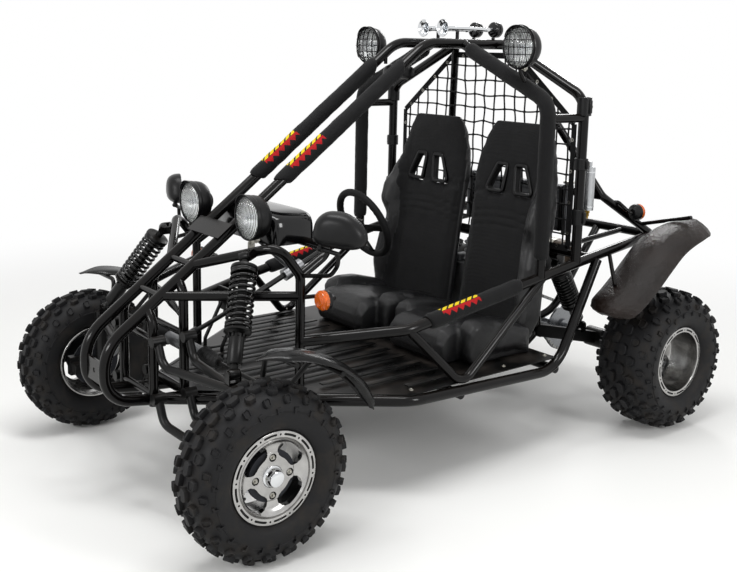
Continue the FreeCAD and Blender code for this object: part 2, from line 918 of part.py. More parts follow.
def turned(profile, y, z):
    """Solid turned about a line across the vehicle, from (across, radius) pairs."""
    return revolve(profile, V(0, y, z), V(1, 0, 0), V(0, 0, 1))


def build_rear_axle():
    """Live axle with its hubs, sprocket and brake disc, and what carries and drives it."""
    rear_half = rear_track / 2
    pad = rear_half + rear_rim_width / 2 - rear_face_inset
    shaft = rod(V(seat_gap - pad, rear_axle_y, rear_axle_z),
                V(pad - seat_gap, rear_axle_y, rear_axle_z), axle_d)
    for side in (1, -1):
        flange = rod(V(side * (pad - hub_flange_wall - seat_gap), rear_axle_y, rear_axle_z),
                     V(side * (pad - seat_gap), rear_axle_y, rear_axle_z), 2 * pad_r)
        sleeve = rod(V(side * (pad - 4 * hub_flange_wall), rear_axle_y, rear_axle_z),
                     V(side * (pad - hub_flange_wall), rear_axle_y, rear_axle_z), hub_d)
        shaft = shaft.multiFuse([flange, sleeve])
    disc = rod(V(rear_disc_x, rear_axle_y, rear_axle_z),
               V(rear_disc_x + disc_wall, rear_axle_y, rear_axle_z), rear_disc_d)
    wheel = rod(V(sprocket_x, rear_axle_y, rear_axle_z),
                V(sprocket_x + sprocket_width, rear_axle_y, rear_axle_z), sprocket_d)
    carrier = rod(V(rear_disc_x - hub_flange_wall, rear_axle_y, rear_axle_z),
                  V(rear_disc_x + 2 * hub_flange_wall, rear_axle_y, rear_axle_z), hub_d)
    carrier2 = rod(V(sprocket_x - hub_flange_wall, rear_axle_y, rear_axle_z),
                   V(sprocket_x + 2 * hub_flange_wall, rear_axle_y, rear_axle_z), hub_d)
    put("rear_axle", shaft.multiFuse([disc, wheel, carrier, carrier2]))

    # swing arm: two bars from the pivots to the bearing housings, tied by two cross bars
    low = V(swing_half - swing_bar_width / 2, 0, 0)
    bar_start = V(0, swing_pivot_y, swing_pivot_z)
    bar_end = V(0, rear_axle_y, rear_axle_z)
    rise = V(0, 0, swing_bar_height / 2)
    outline = [bar_start + rise, bar_end + rise, bar_end - rise, bar_start - rise]
    bar = Part.Face(Part.makePolygon(outline + [outline[0]])).extrude(V(swing_bar_width, 0, 0))
    bar.translate(low)
    housing_low = swing_half - bearing_width
    housing = revolve([
        (0, axle_d / 2 + running_gap), (0, bearing_d / 2), (2 * bearing_width, bearing_d / 2),
        (2 * bearing_width, axle_d / 2 + running_gap),
    ], V(housing_low, rear_axle_y, rear_axle_z), V(1, 0, 0), V(0, 0, 1))
    bore = rod(V(housing_low - overrun, rear_axle_y, rear_axle_z),
               V(housing_low + 2 * bearing_width + overrun, rear_axle_y, rear_axle_z),
               axle_d + 2 * running_gap)
    boss = rod(V(swing_half - bearing_width / 2, swing_pivot_y, swing_pivot_z),
               V(swing_half + bearing_width / 2, swing_pivot_y, swing_pivot_z), swing_bar_height)
    cross_z = swing_pivot_z + (rear_axle_z - swing_pivot_z) * SWING_CROSS_share
    tie = rod(V(-swing_half, swing_cross_y, cross_z), V(swing_half, swing_cross_y, cross_z),
              side_tube_d)
    arm = bar.multiFuse([housing, boss]).cut(bore)
    arm = arm.multiFuse([mirrored(arm), tie])
    put("swing_arm", notched(arm))


SWING_CROSS_share = 0.42


def shock(top, low, top_axis, low_axis):
    """Damper with eyes at its ends and a coil spring round its upper part."""
    run = unit(low - top)
    length = (low - top).Length
    reach = length * spring_share
    top_seat = top + run * (shock_eye_d + spring_wire_d)
    body = rod(top + run * reach, low - run * shock_eye_d, shock_body_d)
    stem = rod(top, low, shock_rod_d)
    plate = rod(top + run * shock_eye_d, top_seat, spring_d)
    ring = rod(top + run * (reach - spring_wire_d), top + run * reach, spring_d)
    ends = [body, stem, plate, ring]
    for eye, axis in ((top, top_axis), (low, low_axis)):
        across = axis * (shock_eye_width / 2)
        ends.append(rod(eye - across, eye + across, shock_eye_d))
    damper = ends[0].multiFuse(ends[1:])
    for eye, axis in ((top, top_axis), (low, low_axis)):
        across = axis * shock_eye_width
        damper = damper.cut(rod(eye - across, eye + across, shock_bolt_d + 2 * seat_gap))
    both("shocks", damper)
    radius = (spring_d - spring_wire_d) / 2
    start = top_seat + run * (spring_wire_d / 2 + seat_gap)
    stop = top + run * (reach - spring_wire_d - spring_wire_d / 2 - seat_gap)
    both("springs", coil(start, stop, radius, spring_turns))


def strip(start, stop, side, width, low, high):
    """Flat bar between two points, from one place to another along a side direction."""
    flank = unit((stop - start).cross(side)) * (width / 2)
    ring = [start - flank, start + flank, stop + flank, stop - flank]
    ring = [spot + side * low for spot in ring]
    return Part.Face(Part.makePolygon(ring + [ring[0]])).extrude(side * (high - low))


def clevis(eye, root, side, obstacle):
    """Two round-ended ears on a saddle, on a stem from a tube, with the bolt of a damper's eye."""
    run = unit(root - eye)
    low = shock_eye_width / 2 + seat_gap
    high = low + clevis_wall
    saddle = run * (shock_eye_d / 2 + clevis_wall)
    pieces = [strip(eye + saddle, eye + saddle + run * clevis_wall, side, clevis_width, -high, high)]
    for way in (1, -1):
        pieces.append(strip(eye, eye + saddle + run * clevis_wall, side * way, clevis_width, low, high))
        pieces.append(rod(eye + side * (way * low), eye + side * (way * high), clevis_width))
    pieces.append(rod(eye + saddle, root, clevis_width * CLEVIS_STEM_share))
    bolt = rod(eye - side * high, eye + side * high, shock_bolt_d)
    mount = bolt.multiFuse(pieces)
    if obstacle is not None:
        mount = mount.cut(obstacle)
    return largest(mount)


CLEVIS_STEM_share = 0.7


def coil(start, stop, radius, turns):
    """Coil of wire between two points, turned in short straight chords."""
    axis = unit(stop - start)
    side = unit(axis.cross(V(1, 0, 0)))
    other = axis.cross(side)
    steps = turns * COIL_STEPS
    points = []
    for index in range(steps + 1):
        part = index / steps
        turn = part * turns * 2 * math.pi
        out = side * math.cos(turn) + other * math.sin(turn)
        points.append(start + (stop - start) * part + out * radius)
    path = Part.makePolygon(points)
    ring = Part.makePolygon([
        points[0] + (side * math.cos(a) + axis * math.sin(a)) * (spring_wire_d / 2)
        for a in (0, math.pi / 2, math.pi, -math.pi / 2, 0)
    ])
    return path.makePipeShell([ring], True, False, 1)


COIL_STEPS = 10


def build_front_suspension():
    """Double arms, knuckles with spindles and steering arms, and coil-over shocks."""
    arm_half = arm_boss_length / 2
    for mount_z, joint_z, node, drop in (
        (upper_arm_z, upper_joint_z, "arms_front", arm_drop),
        (lower_arm_z, lower_joint_z, "arms_front", arm_drop),
    ):
        joint = V(kingpin_half, front_axle_y, joint_z)
        pieces = []
        for y in (post_front_y, post_rear_y):
            mount = V(post_half + side_tube_d / 2 + arm_boss_d / 2 + seat_gap, y, mount_z)
            knee = V(arm_drop_half + arm_tube_d, y, mount_z - drop)
            pieces.append(tube([mount, knee, joint], arm_tube_d, tight_bend))
            along = V(0, arm_half, 0)
            pieces.append(rod(mount - along, mount + along, arm_boss_d))
        boss_rise = V(0, 0, joint_boss_height / 2)
        pieces.append(rod(joint - boss_rise, joint + boss_rise, joint_boss_d))
        arm = pieces[0].multiFuse(pieces[1:])
        arm = arm.cut(rod(joint - boss_rise * 2, joint + boss_rise * 2, joint_pin_d + 2 * running_gap))
        both(node, notched(arm))

    top = upper_joint_z - joint_boss_height / 2 - running_gap
    low = lower_joint_z + joint_boss_height / 2 + column_gap
    column_low = V(kingpin_half, front_axle_y, low)
    column_top = V(kingpin_half, front_axle_y, top)
    column = rod(column_low, column_top, knuckle_d)
    face = front_track / 2 + front_rim_width / 2 - front_face_inset
    spindle = rod(V(kingpin_half, front_axle_y, front_axle_z),
                  V(face - spindle_short, front_axle_y, front_axle_z), spindle_d)
    pin_top = rod(V(kingpin_half, front_axle_y, top - overrun),
                  V(kingpin_half, front_axle_y, upper_joint_z + joint_boss_height / 2), joint_pin_d)
    pin_low = rod(V(kingpin_half, front_axle_y, lower_joint_z - joint_boss_height / 2),
                  V(kingpin_half, front_axle_y, low + overrun), joint_pin_d)
    arm_bar = slab(V(kingpin_half - steer_arm_width / 2, front_axle_y, top - steer_arm_height),
                   V(kingpin_half + steer_arm_width / 2, rack_y + steer_arm_width / 2, top))
    caliper = slab(
        V(front_disc_half - caliper_wall, front_axle_y - front_disc_d / 2 - caliper_reach,
          front_axle_z - caliper_height / 2),
        V(front_disc_half + disc_wall + caliper_wall, front_axle_y - front_disc_d / 2 + caliper_bite,
          front_axle_z + caliper_height / 2))
    slot = rod(V(front_disc_half - disc_gap, front_axle_y, front_axle_z),
               V(front_disc_half + disc_wall + disc_gap, front_axle_y, front_axle_z),
               front_disc_d + 2 * disc_gap)
    ear = slab(
        V(kingpin_half, front_axle_y - front_disc_d / 2 - caliper_reach + disc_gap,
          front_axle_z - caliper_height / 4),
        V(front_disc_half - caliper_wall + overrun, front_axle_y, front_axle_z + caliper_height / 4))
    knuckle = column.multiFuse([spindle, pin_top, pin_low, arm_bar, caliper.cut(slot), ear.cut(slot)])
    put("knuckle_left", knuckle)
    put("knuckle_right", mirrored(knuckle))

    axis = V(0, front_axle_y + front_fender_axis_y, front_axle_z - front_fender_axis_drop)
    low = front_fender_low_half
    high = front_fender_high_half
    outer = front_fender_r
    inner = front_fender_r - front_fender_wall
    lip = inner - front_fender_lip
    profile = [
        (low, lip), (low, outer), (high, outer), (high, lip), (high - front_fender_wall, lip),
        (high - front_fender_wall, inner), (low + front_fender_wall, inner),
        (low + front_fender_wall, lip),
    ]
    points = [V(a, axis.y + r, axis.z) for a, r in profile]
    face = Part.Face(Part.makePolygon(points + [points[0]]))
    shell = face.revolve(axis, V(1, 0, 0), front_fender_end - front_fender_start)
    shell.rotate(axis, V(1, 0, 0), front_fender_start)
    put("fender_front_left", shell)
    put("fender_front_right", mirrored(shell))
    stays = []
    stay_half = (front_track - front_tyre_width - fender_stay_d) / 2 - fender_stay_room
    for turn, foot_y in ((FENDER_STAY_degrees[0], front_axle_y + fender_stay_reach),
                         (FENDER_STAY_degrees[1], rack_y)):
        angle = math.radians(turn)
        reach = lip - seat_gap - fender_stay_d / 2
        y = axis.y + reach * math.cos(angle)
        z = axis.z + reach * math.sin(angle)
        stays.append(tube([
            V(kingpin_half, front_axle_y, fender_stay_z),
            V(stay_half, foot_y, fender_stay_z),
            V(front_fender_low_half - fender_stay_d, y, z),
            V(front_fender_high_half - fender_stay_d, y, z),
        ], fender_stay_d, light_tube_d))
    stay = stays[0].multiFuse(stays[1:])
    stay = stay.cut(rod(column_low, column_top, knuckle_d + 2 * seat_gap))
    stay = largest(stay)
    put("knuckle_left", stay)
    put("knuckle_right", mirrored(stay))

    build_shocks()


def build_shocks():
    """Front and rear coil-over dampers in their clevises."""
    top = V(shock_top_half, shock_top_y, shock_top_z)
    low = V(shock_low_half, shock_low_y, shock_low_z)
    brow = V(upright_half, brow_y, brow_z)
    along = unit(spine_at(brow_spine_y) - brow)
    shock(top, low, along, V(0, 1, 0))
    foot = brow + along * (top - brow).dot(along)
    both("shock_mounts", notched(clevis(top, foot, along, None)))
    joint = V(kingpin_half, front_axle_y, upper_joint_z)
    knees = [V(arm_drop_half + arm_tube_d, y, upper_arm_z - arm_drop)
             for y in (post_front_y, post_rear_y)]
    legs = [rod(knee, joint, arm_tube_d + 2 * seat_gap) for knee in knees]
    part = (low.x - knees[1].x) / (joint.x - knees[1].x)
    seat_z = knees[1].z + (joint.z - knees[1].z) * part
    both("shock_mounts", clevis(low, V(low.x, low.y, seat_z), V(0, 1, 0), legs[0].fuse(legs[1])))

    top = V(rear_shock_half, rear_rail_y + rear_shock_setback, rear_rail_z - rear_shock_drop)
    low = V(rear_shock_half, rear_shock_low_y, rear_axle_z + rear_shock_rise)
    shock(top, low, V(1, 0, 0), V(1, 0, 0))
    foot = V(rear_shock_half, rear_rail_y, rear_rail_z)
    both("shock_mounts", notched(clevis(top, foot, V(1, 0, 0), None)))
    part = (low.y - swing_pivot_y) / (rear_axle_y - swing_pivot_y)
    bar_z = swing_pivot_z + (rear_axle_z - swing_pivot_z) * part
    pivot = V(0, swing_pivot_y, swing_pivot_z)
    axle = V(0, rear_axle_y, rear_axle_z)
    rise = V(0, 0, swing_bar_height / 2 + seat_gap)
    ring = [pivot + rise, axle + rise, axle - rise, pivot - rise, pivot + rise]
    bar = Part.Face(Part.makePolygon(ring)).extrude(V(swing_bar_width + 2 * seat_gap, 0, 0))
    bar.translate(V(swing_half - swing_bar_width / 2 - seat_gap, 0, 0))
    both("shock_mounts", clevis(low, V(low.x, low.y, bar_z), V(1, 0, 0), bar))


FENDER_STAY_degrees = (84.0, 58.0)


def build_steering():
    """Rack with boots and tie rods, jointed shaft, column and steering wheel."""
    housing = turned([
        (-rack_half, tie_rod_d / 2 + running_gap), (-rack_half, rack_d / 2),
        (rack_half, rack_d / 2), (rack_half, tie_rod_d / 2 + running_gap),
    ], rack_y, rack_z)
    pinion_x = wheel_x * PINION_share
    pinion_end = V(pinion_x, rack_y + rack_d, rack_z)
    pinion = rod(V(pinion_x, rack_y, rack_z), pinion_end, rack_d)
    bore = rod(V(-rack_half - overrun, rack_y, rack_z), V(rack_half + overrun, rack_y, rack_z),
               tie_rod_d + 2 * running_gap)
    socket = Part.makeSphere(yoke_ball_d / 2 + seat_gap, pinion_end)
    put("rack_housing", notched(housing.fuse(pinion).cut(bore).cut(socket)))
    step = boot_length / (2 * boot_ridges)
    profile = [(0, tie_rod_d / 2 + running_gap)]
    for index in range(2 * boot_ridges + 1):
        taper = 1 - BOOT_TAPER_share * index / (2 * boot_ridges)
        radius = boot_d / 2 * taper * (1 if index % 2 else BOOT_VALLEY_share)
        profile.append((index * step, radius))
    profile.append((boot_length, tie_rod_d / 2 + running_gap))
    boot = revolve(profile, V(rack_half + seat_gap, rack_y, rack_z), V(1, 0, 0), V(0, 0, 1))
    both("rack_boots", boot)
    bar = rod(V(-kingpin_half, rack_y, rack_z), V(kingpin_half, rack_y, rack_z), tie_rod_d)
    for side in (1, -1):
        eye_low = V(side * kingpin_half, rack_y, rack_z - tie_end_d / 2)
        eye_high = V(side * kingpin_half, rack_y, rack_z + tie_end_d / 2)
        bar = bar.fuse(rod(eye_low, eye_high, tie_end_d))
    put("tie_rods", bar)

    hub = V(wheel_x, wheel_y, wheel_z)
    low = V(wheel_x, column_low_y, column_low_z)
    axis = unit(hub - low)
    side = V(1, 0, 0)
    up = axis.cross(side) * -1
    grip_r = (steering_wheel_d - grip_d) / 2
    ring = Part.makeTorus(grip_r, grip_d / 2, hub + axis * dish_depth, axis)
    boss = rod(hub - axis * dish_depth, hub + axis * (dish_depth / 2), pod_hub_d)
    spokes = []
    for turn in SPOKE_degrees:
        angle = math.radians(turn)
        out = side * math.cos(angle) + up * math.sin(angle)
        spokes.append(rod(hub, hub + axis * dish_depth + out * grip_r, spoke_d))
    wheel = ring.multiFuse([boss] + spokes)
    put("steering_wheel", wheel)
    yoke = rod(low, low + axis * yoke_length, yoke_d)
    yoke = yoke.cut(Part.makeSphere(yoke_ball_d / 2 + seat_gap, low))
    shaft = rod(low + axis * yoke_length, hub - axis * (dish_depth + seat_gap), column_d)
    put("steering_shaft", yoke.fuse(shaft))

    # jointed shaft: a ball at each end, one in the pinion's socket and one in the column's yoke
    run = unit(low - pinion_end)
    neck = run * (yoke_ball_d * YOKE_NECK_share)
    balls = [Part.makeSphere(yoke_ball_d / 2, pinion_end), Part.makeSphere(yoke_ball_d / 2, low)]
    collars = [
        rod(pinion_end + neck, pinion_end + neck + run * yoke_length, yoke_d * YOKE_COLLAR_share),
        rod(low - neck - run * yoke_length, low - neck, yoke_d * YOKE_COLLAR_share),
    ]
    lower = rod(pinion_end, low, column_d * YOKE_STEM_share)
    put("steering_joint_shaft", lower.multiFuse(balls + collars))

    # bearing sleeve of the column, on a stay from the dash tube
    middle = low + (hub - low) * COLUMN_MOUNT_share
    sleeve = rod(middle - axis * yoke_length, middle + axis * yoke_length, yoke_d + pad_wall)
    stay = tube([middle, V(wheel_x, dash_y, dash_z)], light_tube_d, 0)
    hole = rod(low, hub, column_d + 2 * running_gap)
    put("rack_housing", notched(sleeve.fuse(stay).cut(hole)))


PINION_share = 0.36
YOKE_NECK_share = 0.75
YOKE_COLLAR_share = 0.8
YOKE_STEM_share = 0.8
BOOT_TAPER_share = 0.35
BOOT_VALLEY_share = 0.8
SPOKE_degrees = (0.0, 180.0, 270.0)
COLUMN_MOUNT_share = 0.45


def build_pedals():
    """Two pendant pedals on a cross pivot in front of the driver."""
    outer = pedal_reach - upright_half
    for x in (outer, outer + pedal_gap):
        foot = floor_top()
        head = foot + pedal_height + pedal_arm
        lean = V(0, -pedal_arm * PEDAL_LEAN_share, 0)
        plate = slab(V(x - pedal_width / 2, pedal_y, head - pedal_height),
                     V(x + pedal_width / 2, pedal_y + pedal_wall, head))
        heel = V(x, pedal_y, foot) + lean
        arm = tube([heel, heel + V(0, 0, 2 * bracket_d), V(x, pedal_y, head - pedal_height / 2)],
                   bracket_d, light_tube_d)
        put("pedals", largest(arm.fuse(plate)))


PEDAL_LEAN_share = 0.6


def floor_top():
    """Height of the floor plate's upper face, with the gap that seats a piece on it."""
    return floor_front_z + main_tube_d / 2 + seat_gap + floor_plate_wall + seat_gap


def build_engine():
    """Engine with finned cylinder and belt-drive case, muffler, radiator and fuel tank."""
    case = slab(V(-engine_half, engine_y - engine_length / 2, engine_z - engine_height / 2),
                V(engine_half, engine_y + engine_length / 2, engine_z + engine_height / 2))
    put("engine", notched(case))
    top = engine_z + engine_height / 2 + seat_gap
    pitch = cylinder_length / cylinder_fins
    profile = [(0, 0)]
    for index in range(cylinder_fins):
        z = index * pitch
        profile += [(z, cylinder_d / 2), (z + fin_wall, cylinder_d / 2)]
        profile += [(z + fin_wall, cylinder_d * FIN_ROOT_share), (z + pitch, cylinder_d * FIN_ROOT_share)]
    profile.append((cylinder_length, 0))
    barrel_y = engine_y - engine_length / 3
    barrel = revolve(profile, V(0, barrel_y, top), V(0, 0, 1), V(1, 0, 0))
    put("engine", notched(barrel))
    x = -engine_half - seat_gap
    front = V(x, engine_y - engine_length / 4, engine_z)
    rear = V(x, engine_y - engine_length / 4 + cvt_length - cvt_d, engine_z)
    ends = [Part.makeCylinder(cvt_d / 2, cvt_width, spot, V(-1, 0, 0)) for spot in (front, rear)]
    span = slab(V(x - cvt_width, front.y, engine_z - cvt_d / 2), V(x, rear.y, engine_z + cvt_d / 2))
    put("belt_case", notched(ends[0].multiFuse([ends[1], span])))

    ends = V(muffler_length / 2, 0, 0)
    middle = V(0, muffler_y, muffler_z)
    put("exhaust", notched(rod(middle - ends, middle + ends, muffler_d)))
    port = V(0, barrel_y + cylinder_d / 2 + seat_gap, top + cylinder_length / 2)
    inlet_y = muffler_y - muffler_d / 2 - seat_gap
    pipe = tube([
        port, V(0, inlet_y - 2 * pipe_level, port.z), V(0, inlet_y - pipe_level, muffler_z),
        V(0, inlet_y, muffler_z),
    ], pipe_d, pipe_level)
    put("exhaust", notched(pipe))

    low = V(-radiator_half, radiator_y - radiator_wall / 2, radiator_z - radiator_height / 2)
    high = V(radiator_half, radiator_y + radiator_wall / 2, radiator_z + radiator_height / 2)
    core = slab(low, high)
    step = radiator_height / radiator_fins
    for index in range(radiator_fins):
        z = low.z + (index + FIN_SLOT_share) * step
        groove = slab(V(low.x + fin_wall, low.y - overrun, z),
                      V(high.x - fin_wall, low.y + fin_wall, z + step / 2))
        core = core.cut(groove)
    put("radiator", notched(core))
    rise = V(0, 0, radiator_height / 2 + fin_wall)
    side = V(radiator_half + radiator_tank_d / 2 + seat_gap, radiator_y, radiator_z)
    both("radiator", notched(rod(side - rise, side + rise, radiator_tank_d)))

    tank_top = rear_rail_z - side_tube_d / 2 - seat_gap
    low = V(tank_x - tank_half, tank_y - tank_length / 2, tank_top - tank_height)
    high = V(tank_x + tank_half, tank_y + tank_length / 2, tank_top)
    tank = slab(low, high)
    tank = tank.makeFillet(tank_height * TANK_ROUND_share, tank.Edges)
    filler = rod(V(tank_x, tank_y, high.z + seat_gap),
                 V(tank_x, tank_y, high.z + tank_cap_height), tank_cap_d)
    put("fuel_tank", notched(tank))
    put("fuel_tank", notched(filler))


FIN_ROOT_share = 0.40
FIN_SLOT_share = 0.25
TANK_ROUND_share = 0.22


def lamp(centre, node, lens_node):
    """Round lamp shell with a domed back and a lens in front."""
    shell = revolve([
        (0, lamp_d / 2 - lamp_wall), (0, lamp_d / 2), (lamp_depth * LAMP_RIM_share, lamp_d / 2),
        (lamp_depth * LAMP_MID_share, lamp_d * LAMP_SHOULDER_share), (lamp_depth, lamp_d * LAMP_BACK_share),
        (lamp_depth, 0), (lamp_wall * 2, 0), (lamp_wall * 2, lamp_d / 2 - lamp_wall),
    ], centre, V(0, 1, 0), V(0, 0, 1))
    lens = revolve([
        (-lamp_wall, 0), (0, lamp_d / 2 - lamp_wall - seat_gap),
        (2 * lamp_wall - seat_gap, lamp_d / 2 - lamp_wall - seat_gap), (2 * lamp_wall - seat_gap, 0),
    ], centre, V(0, 1, 0), V(0, 0, 1))
    both(node, shell)
    both(lens_node, lens)


LAMP_RIM_share = 0.35
LAMP_MID_share = 0.75
LAMP_SHOULDER_share = 0.42
LAMP_BACK_share = 0.2


def build_lamps():
    """Headlights, roof lamps with guards, indicators and tail lamp on their brackets."""
    lamp(V(headlight_half, headlight_y - lamp_depth / 2, headlight_z), "lamp_shells", "lamp_lenses")
    lamp(V(roof_lamp_half, roof_lamp_y - lamp_depth / 2, roof_lamp_z), "lamp_shells", "lamp_lenses")
    rim_mid = lamp_depth * (LAMP_RIM_share - 1) / 2
    head = V(headlight_half, headlight_y + rim_mid, headlight_z - lamp_d / 2 - seat_gap)
    brow = V(upright_half, brow_y, brow_z)
    brow_end = spine_at(brow_spine_y)
    foot = brow + (brow_end - brow) * ((brow.x - head.x) / (brow.x - brow_end.x))
    both("brackets", notched(tube([head, head - V(0, 0, stalk_drop), foot], bracket_d, bracket_d)))
    roof = V(roof_lamp_half, roof_lamp_y + rim_mid, roof_lamp_z - lamp_d / 2 - seat_gap)
    slope = (roof_z - hoop_front_shoulder_z) / (hoop_front_half - roof_spine_half)
    hoop_z = hoop_front_shoulder_z + (hoop_front_half - roof_lamp_half) * slope
    foot = V(roof_lamp_half, hoop_front_y, hoop_z)
    both("brackets", notched(tube([roof, roof - V(0, 0, bracket_d), foot], bracket_d, bracket_d)))

    front = V(upright_half + indicator_front_reach, indicator_front_y, indicator_z)
    indicator(front, V(0, -1, 0), V(upright_half, upright_y, indicator_z))
    rear = V(indicator_rear_half, indicator_rear_y, indicator_rear_z)
    indicator(rear, V(0, 1, 0), brace_at(indicator_rear_y - indicator_depth - stalk_drop))


def indicator(centre, ahead, root):
    """Round indicator on a bent stalk that leaves its back and reaches a tube of the cage."""
    side = V(0, 0, 1)
    deep = indicator_depth * LENS_share
    shell = revolve([(0, 0), (0, indicator_d / 2), (deep, indicator_d / 2), (deep, 0)],
                    centre, -ahead, side)
    tip = indicator_depth * (1 - LENS_share)
    lens = revolve([
        (seat_gap, 0), (seat_gap, indicator_d / 2), (tip, indicator_d * LENS_TOP_share), (tip, 0),
    ], centre, ahead, side)
    both("indicators", shell)
    both("indicator_lenses", lens)
    back = centre - ahead * (deep + seat_gap)
    knee = V(root.x + bracket_d * STALK_share, back.y - ahead.y * 2 * bracket_d, root.z)
    stalk = tube([back, back - ahead * bracket_d, knee, root], bracket_d, bracket_d)
    both("brackets", notched(stalk))


STALK_share = 1.3
LENS_share = 0.5
LENS_TOP_share = 0.4


def build_horns():
    """Pair of trumpet horns on the roof tubes."""
    for side in (1, -1):
        start = V(side * horn_half, horn_bell_y, horn_z)
        profile = [(0, 0)]
        for along_share, radius_share in HORN_shares:
            profile.append((along_share * horn_length, radius_share * horn_bell_d / 2))
        profile.append((horn_length, 0))
        trumpet = revolve(profile, start, V(0, 1, 0), V(0, 0, 1))
        put("horns", trumpet)
        base = V(side * horn_half, horn_bell_y + horn_length + seat_gap, horn_z)
        put("horn_drivers", rod(base, base + V(0, horn_base_depth, 0), horn_base_d))
        grown = [(a + (seat_gap if r else 0), r + (seat_gap if r else 0)) for a, r in profile]
        foot = rod(V(base.x, hoop_front_y, roof_z), V(base.x, hoop_front_y, horn_z), bracket_d)
        foot = foot.cut(revolve(grown, start, V(0, 1, 0), V(0, 0, 1)))
        put("brackets", notched(min(foot.Solids, key=lambda solid: solid.BoundBox.ZMin)))
        heel = V(base.x, base.y + bracket_d / 2 + seat_gap, roof_z)
        top_z = horn_z - horn_base_d / 2 - seat_gap
        put("brackets", notched(rod(heel, V(heel.x, heel.y, top_z), bracket_d)))


HORN_shares = ((0.0, 1.0), (0.04, 0.86), (0.12, 0.52), (0.3, 0.3), (1.0, 0.24))


def build_mirrors():
    """Two outside mirrors on stalks and a cabin mirror under the roof tubes."""
    shell = flat([
        (a * mirror_width, b * mirror_height) for a, b in MIRROR_shares
    ], 0, mirror_wall)
    shell.translate(V(mirror_half, mirror_y, mirror_z))
    both("mirrors", shell)
    head = V(mirror_half, mirror_y + mirror_wall / 2, mirror_z - mirror_height / 2 - seat_gap)
    stalk = tube([
        head, head - V(0, 0, stalk_drop),
        V(mirror_half - main_tube_d, mirror_y + mirror_wall / 2, mirror_z - mirror_height),
        V(upright_half, upright_y, upright_top_z),
    ], bracket_d, tight_bend)
    both("brackets", notched(stalk))
    glass = slab(V(-cabin_mirror_width / 2, cabin_mirror_y, cabin_mirror_z - cabin_mirror_height / 2),
                 V(cabin_mirror_width / 2, cabin_mirror_y + mirror_wall,
                   cabin_mirror_z + cabin_mirror_height / 2))
    put("mirrors", glass)
    hang = spine_at(cabin_mirror_y + mirror_wall / 2)
    hook = rod(hang, V(hang.x, hang.y, cabin_mirror_z + cabin_mirror_height / 2 + seat_gap), bracket_d)
    hook.translate(V(-bracket_d, 0, 0))
    both("brackets", notched(hook))


MIRROR_shares = (
    (-0.5, -0.1), (-0.3, -0.5), (0.3, -0.5), (0.5, -0.1),
    (0.45, 0.35), (0.2, 0.5), (-0.2, 0.5), (-0.45, 0.35),
)


def fender_section(index, grow):
    """Closed arc-shaped section of a left rear fender at one of its stations, grown all round."""
    a_share, b_share, wide_share, crown_share = REAR_FENDER_shares[index]
    before = REAR_FENDER_shares[max(0, index - 1)]
    after = REAR_FENDER_shares[min(index + 1, len(REAR_FENDER_shares) - 1)]
    run = unit(V(0, after[0] - before[0], after[1] - before[1]))
    rise = V(0, -run.z, run.y)
    spot = V(rear_fender_low_half + rear_fender_width / 2, rear_axle_y + a_share * rear_tyre_od,
             b_share * rear_tyre_od)
    side = V(rear_fender_width / 2 * wide_share + grow, 0, 0)
    top = spot + rise * (rear_fender_wall + grow)
    foot = spot - rise * grow
    crown = rise * (rear_fender_crown * crown_share)
    return Part.Wire([
        Part.Arc(top - side, top + crown, top + side).toShape(),
        Part.LineSegment(top + side, foot + side).toShape(),
        Part.Arc(foot + side, foot + crown, foot - side).toShape(),
        Part.LineSegment(foot - side, top - side).toShape(),
    ])


def fender_shell(grow):
    """Crowned S-shaped shell of a left rear fender, lofted through its sections."""
    sections = [fender_section(index, grow) for index in range(len(REAR_FENDER_shares))]
    return Part.makeLoft(sections, True, False)


def build_rear_fenders():
    """Raised rear fenders, each on a stay over its top and a bracket at its front."""
    both("fenders_rear", notched(fender_shell(0)))
    grown = fender_shell(seat_gap)
    ray = rod(V(rear_stay_x, rear_stay_y, rear_axle_z), V(rear_stay_x, rear_stay_y, roof_z),
              fender_stay_d / 4)
    top = grown.common(ray).BoundBox.ZMax
    tip = V(rear_stay_x, rear_stay_y, top + fender_stay_d / 2 - rear_bracket_sink)
    stay = tube([brace_at(rear_stay_y - main_tube_d), tip], fender_stay_d, 0)
    lug = rod(tip, tip + V(0, fender_stay_d, 0), fender_stay_d)
    put_clear("fender_stays", stay.fuse(lug), grown)
    low_share = REAR_FENDER_shares[1]
    spot = V(rear_fender_low_half + rear_fender_width * BRACKET_share,
             rear_axle_y + low_share[0] * rear_tyre_od, low_share[1] * rear_tyre_od)
    foot = spot + V(0, -rear_fender_crown / 2, rear_fender_crown * BRACKET_RISE_share)
    put_clear("fender_stays", tube([rail_rear_at(rear_bracket_y), foot], fender_stay_d, 0), grown)


def build_canister():
    """Upright canister held beside the left brace."""
    middle = V(canister_x, canister_y, canister_z)
    half = V(0, 0, canister_length / 2)
    body = rod(middle - half, middle + half, canister_d)
    neck = rod(middle + half, middle + half + V(0, 0, canister_neck), canister_neck_d)
    top = V(hoop_rear_top_half, hoop_rear_y, roof_z)
    held = top + (V(brace_half, brace_y, brace_z) - top) * CLAMP_share
    clamp = rod(V(canister_x, canister_y, held.z), held, canister_clamp_d)
    put("canister", notched(body.multiFuse([neck, clamp])))


CLAMP_share = 0.82


def put_clear(node, stay, obstacle):
    """Adds the part of a stay that lies on the frame's side of an obstacle, on both sides."""
    stay = stay.cut(obstacle)
    near = min(stay.Solids, key=lambda solid: solid.BoundBox.XMin)
    both(node, notched(near))


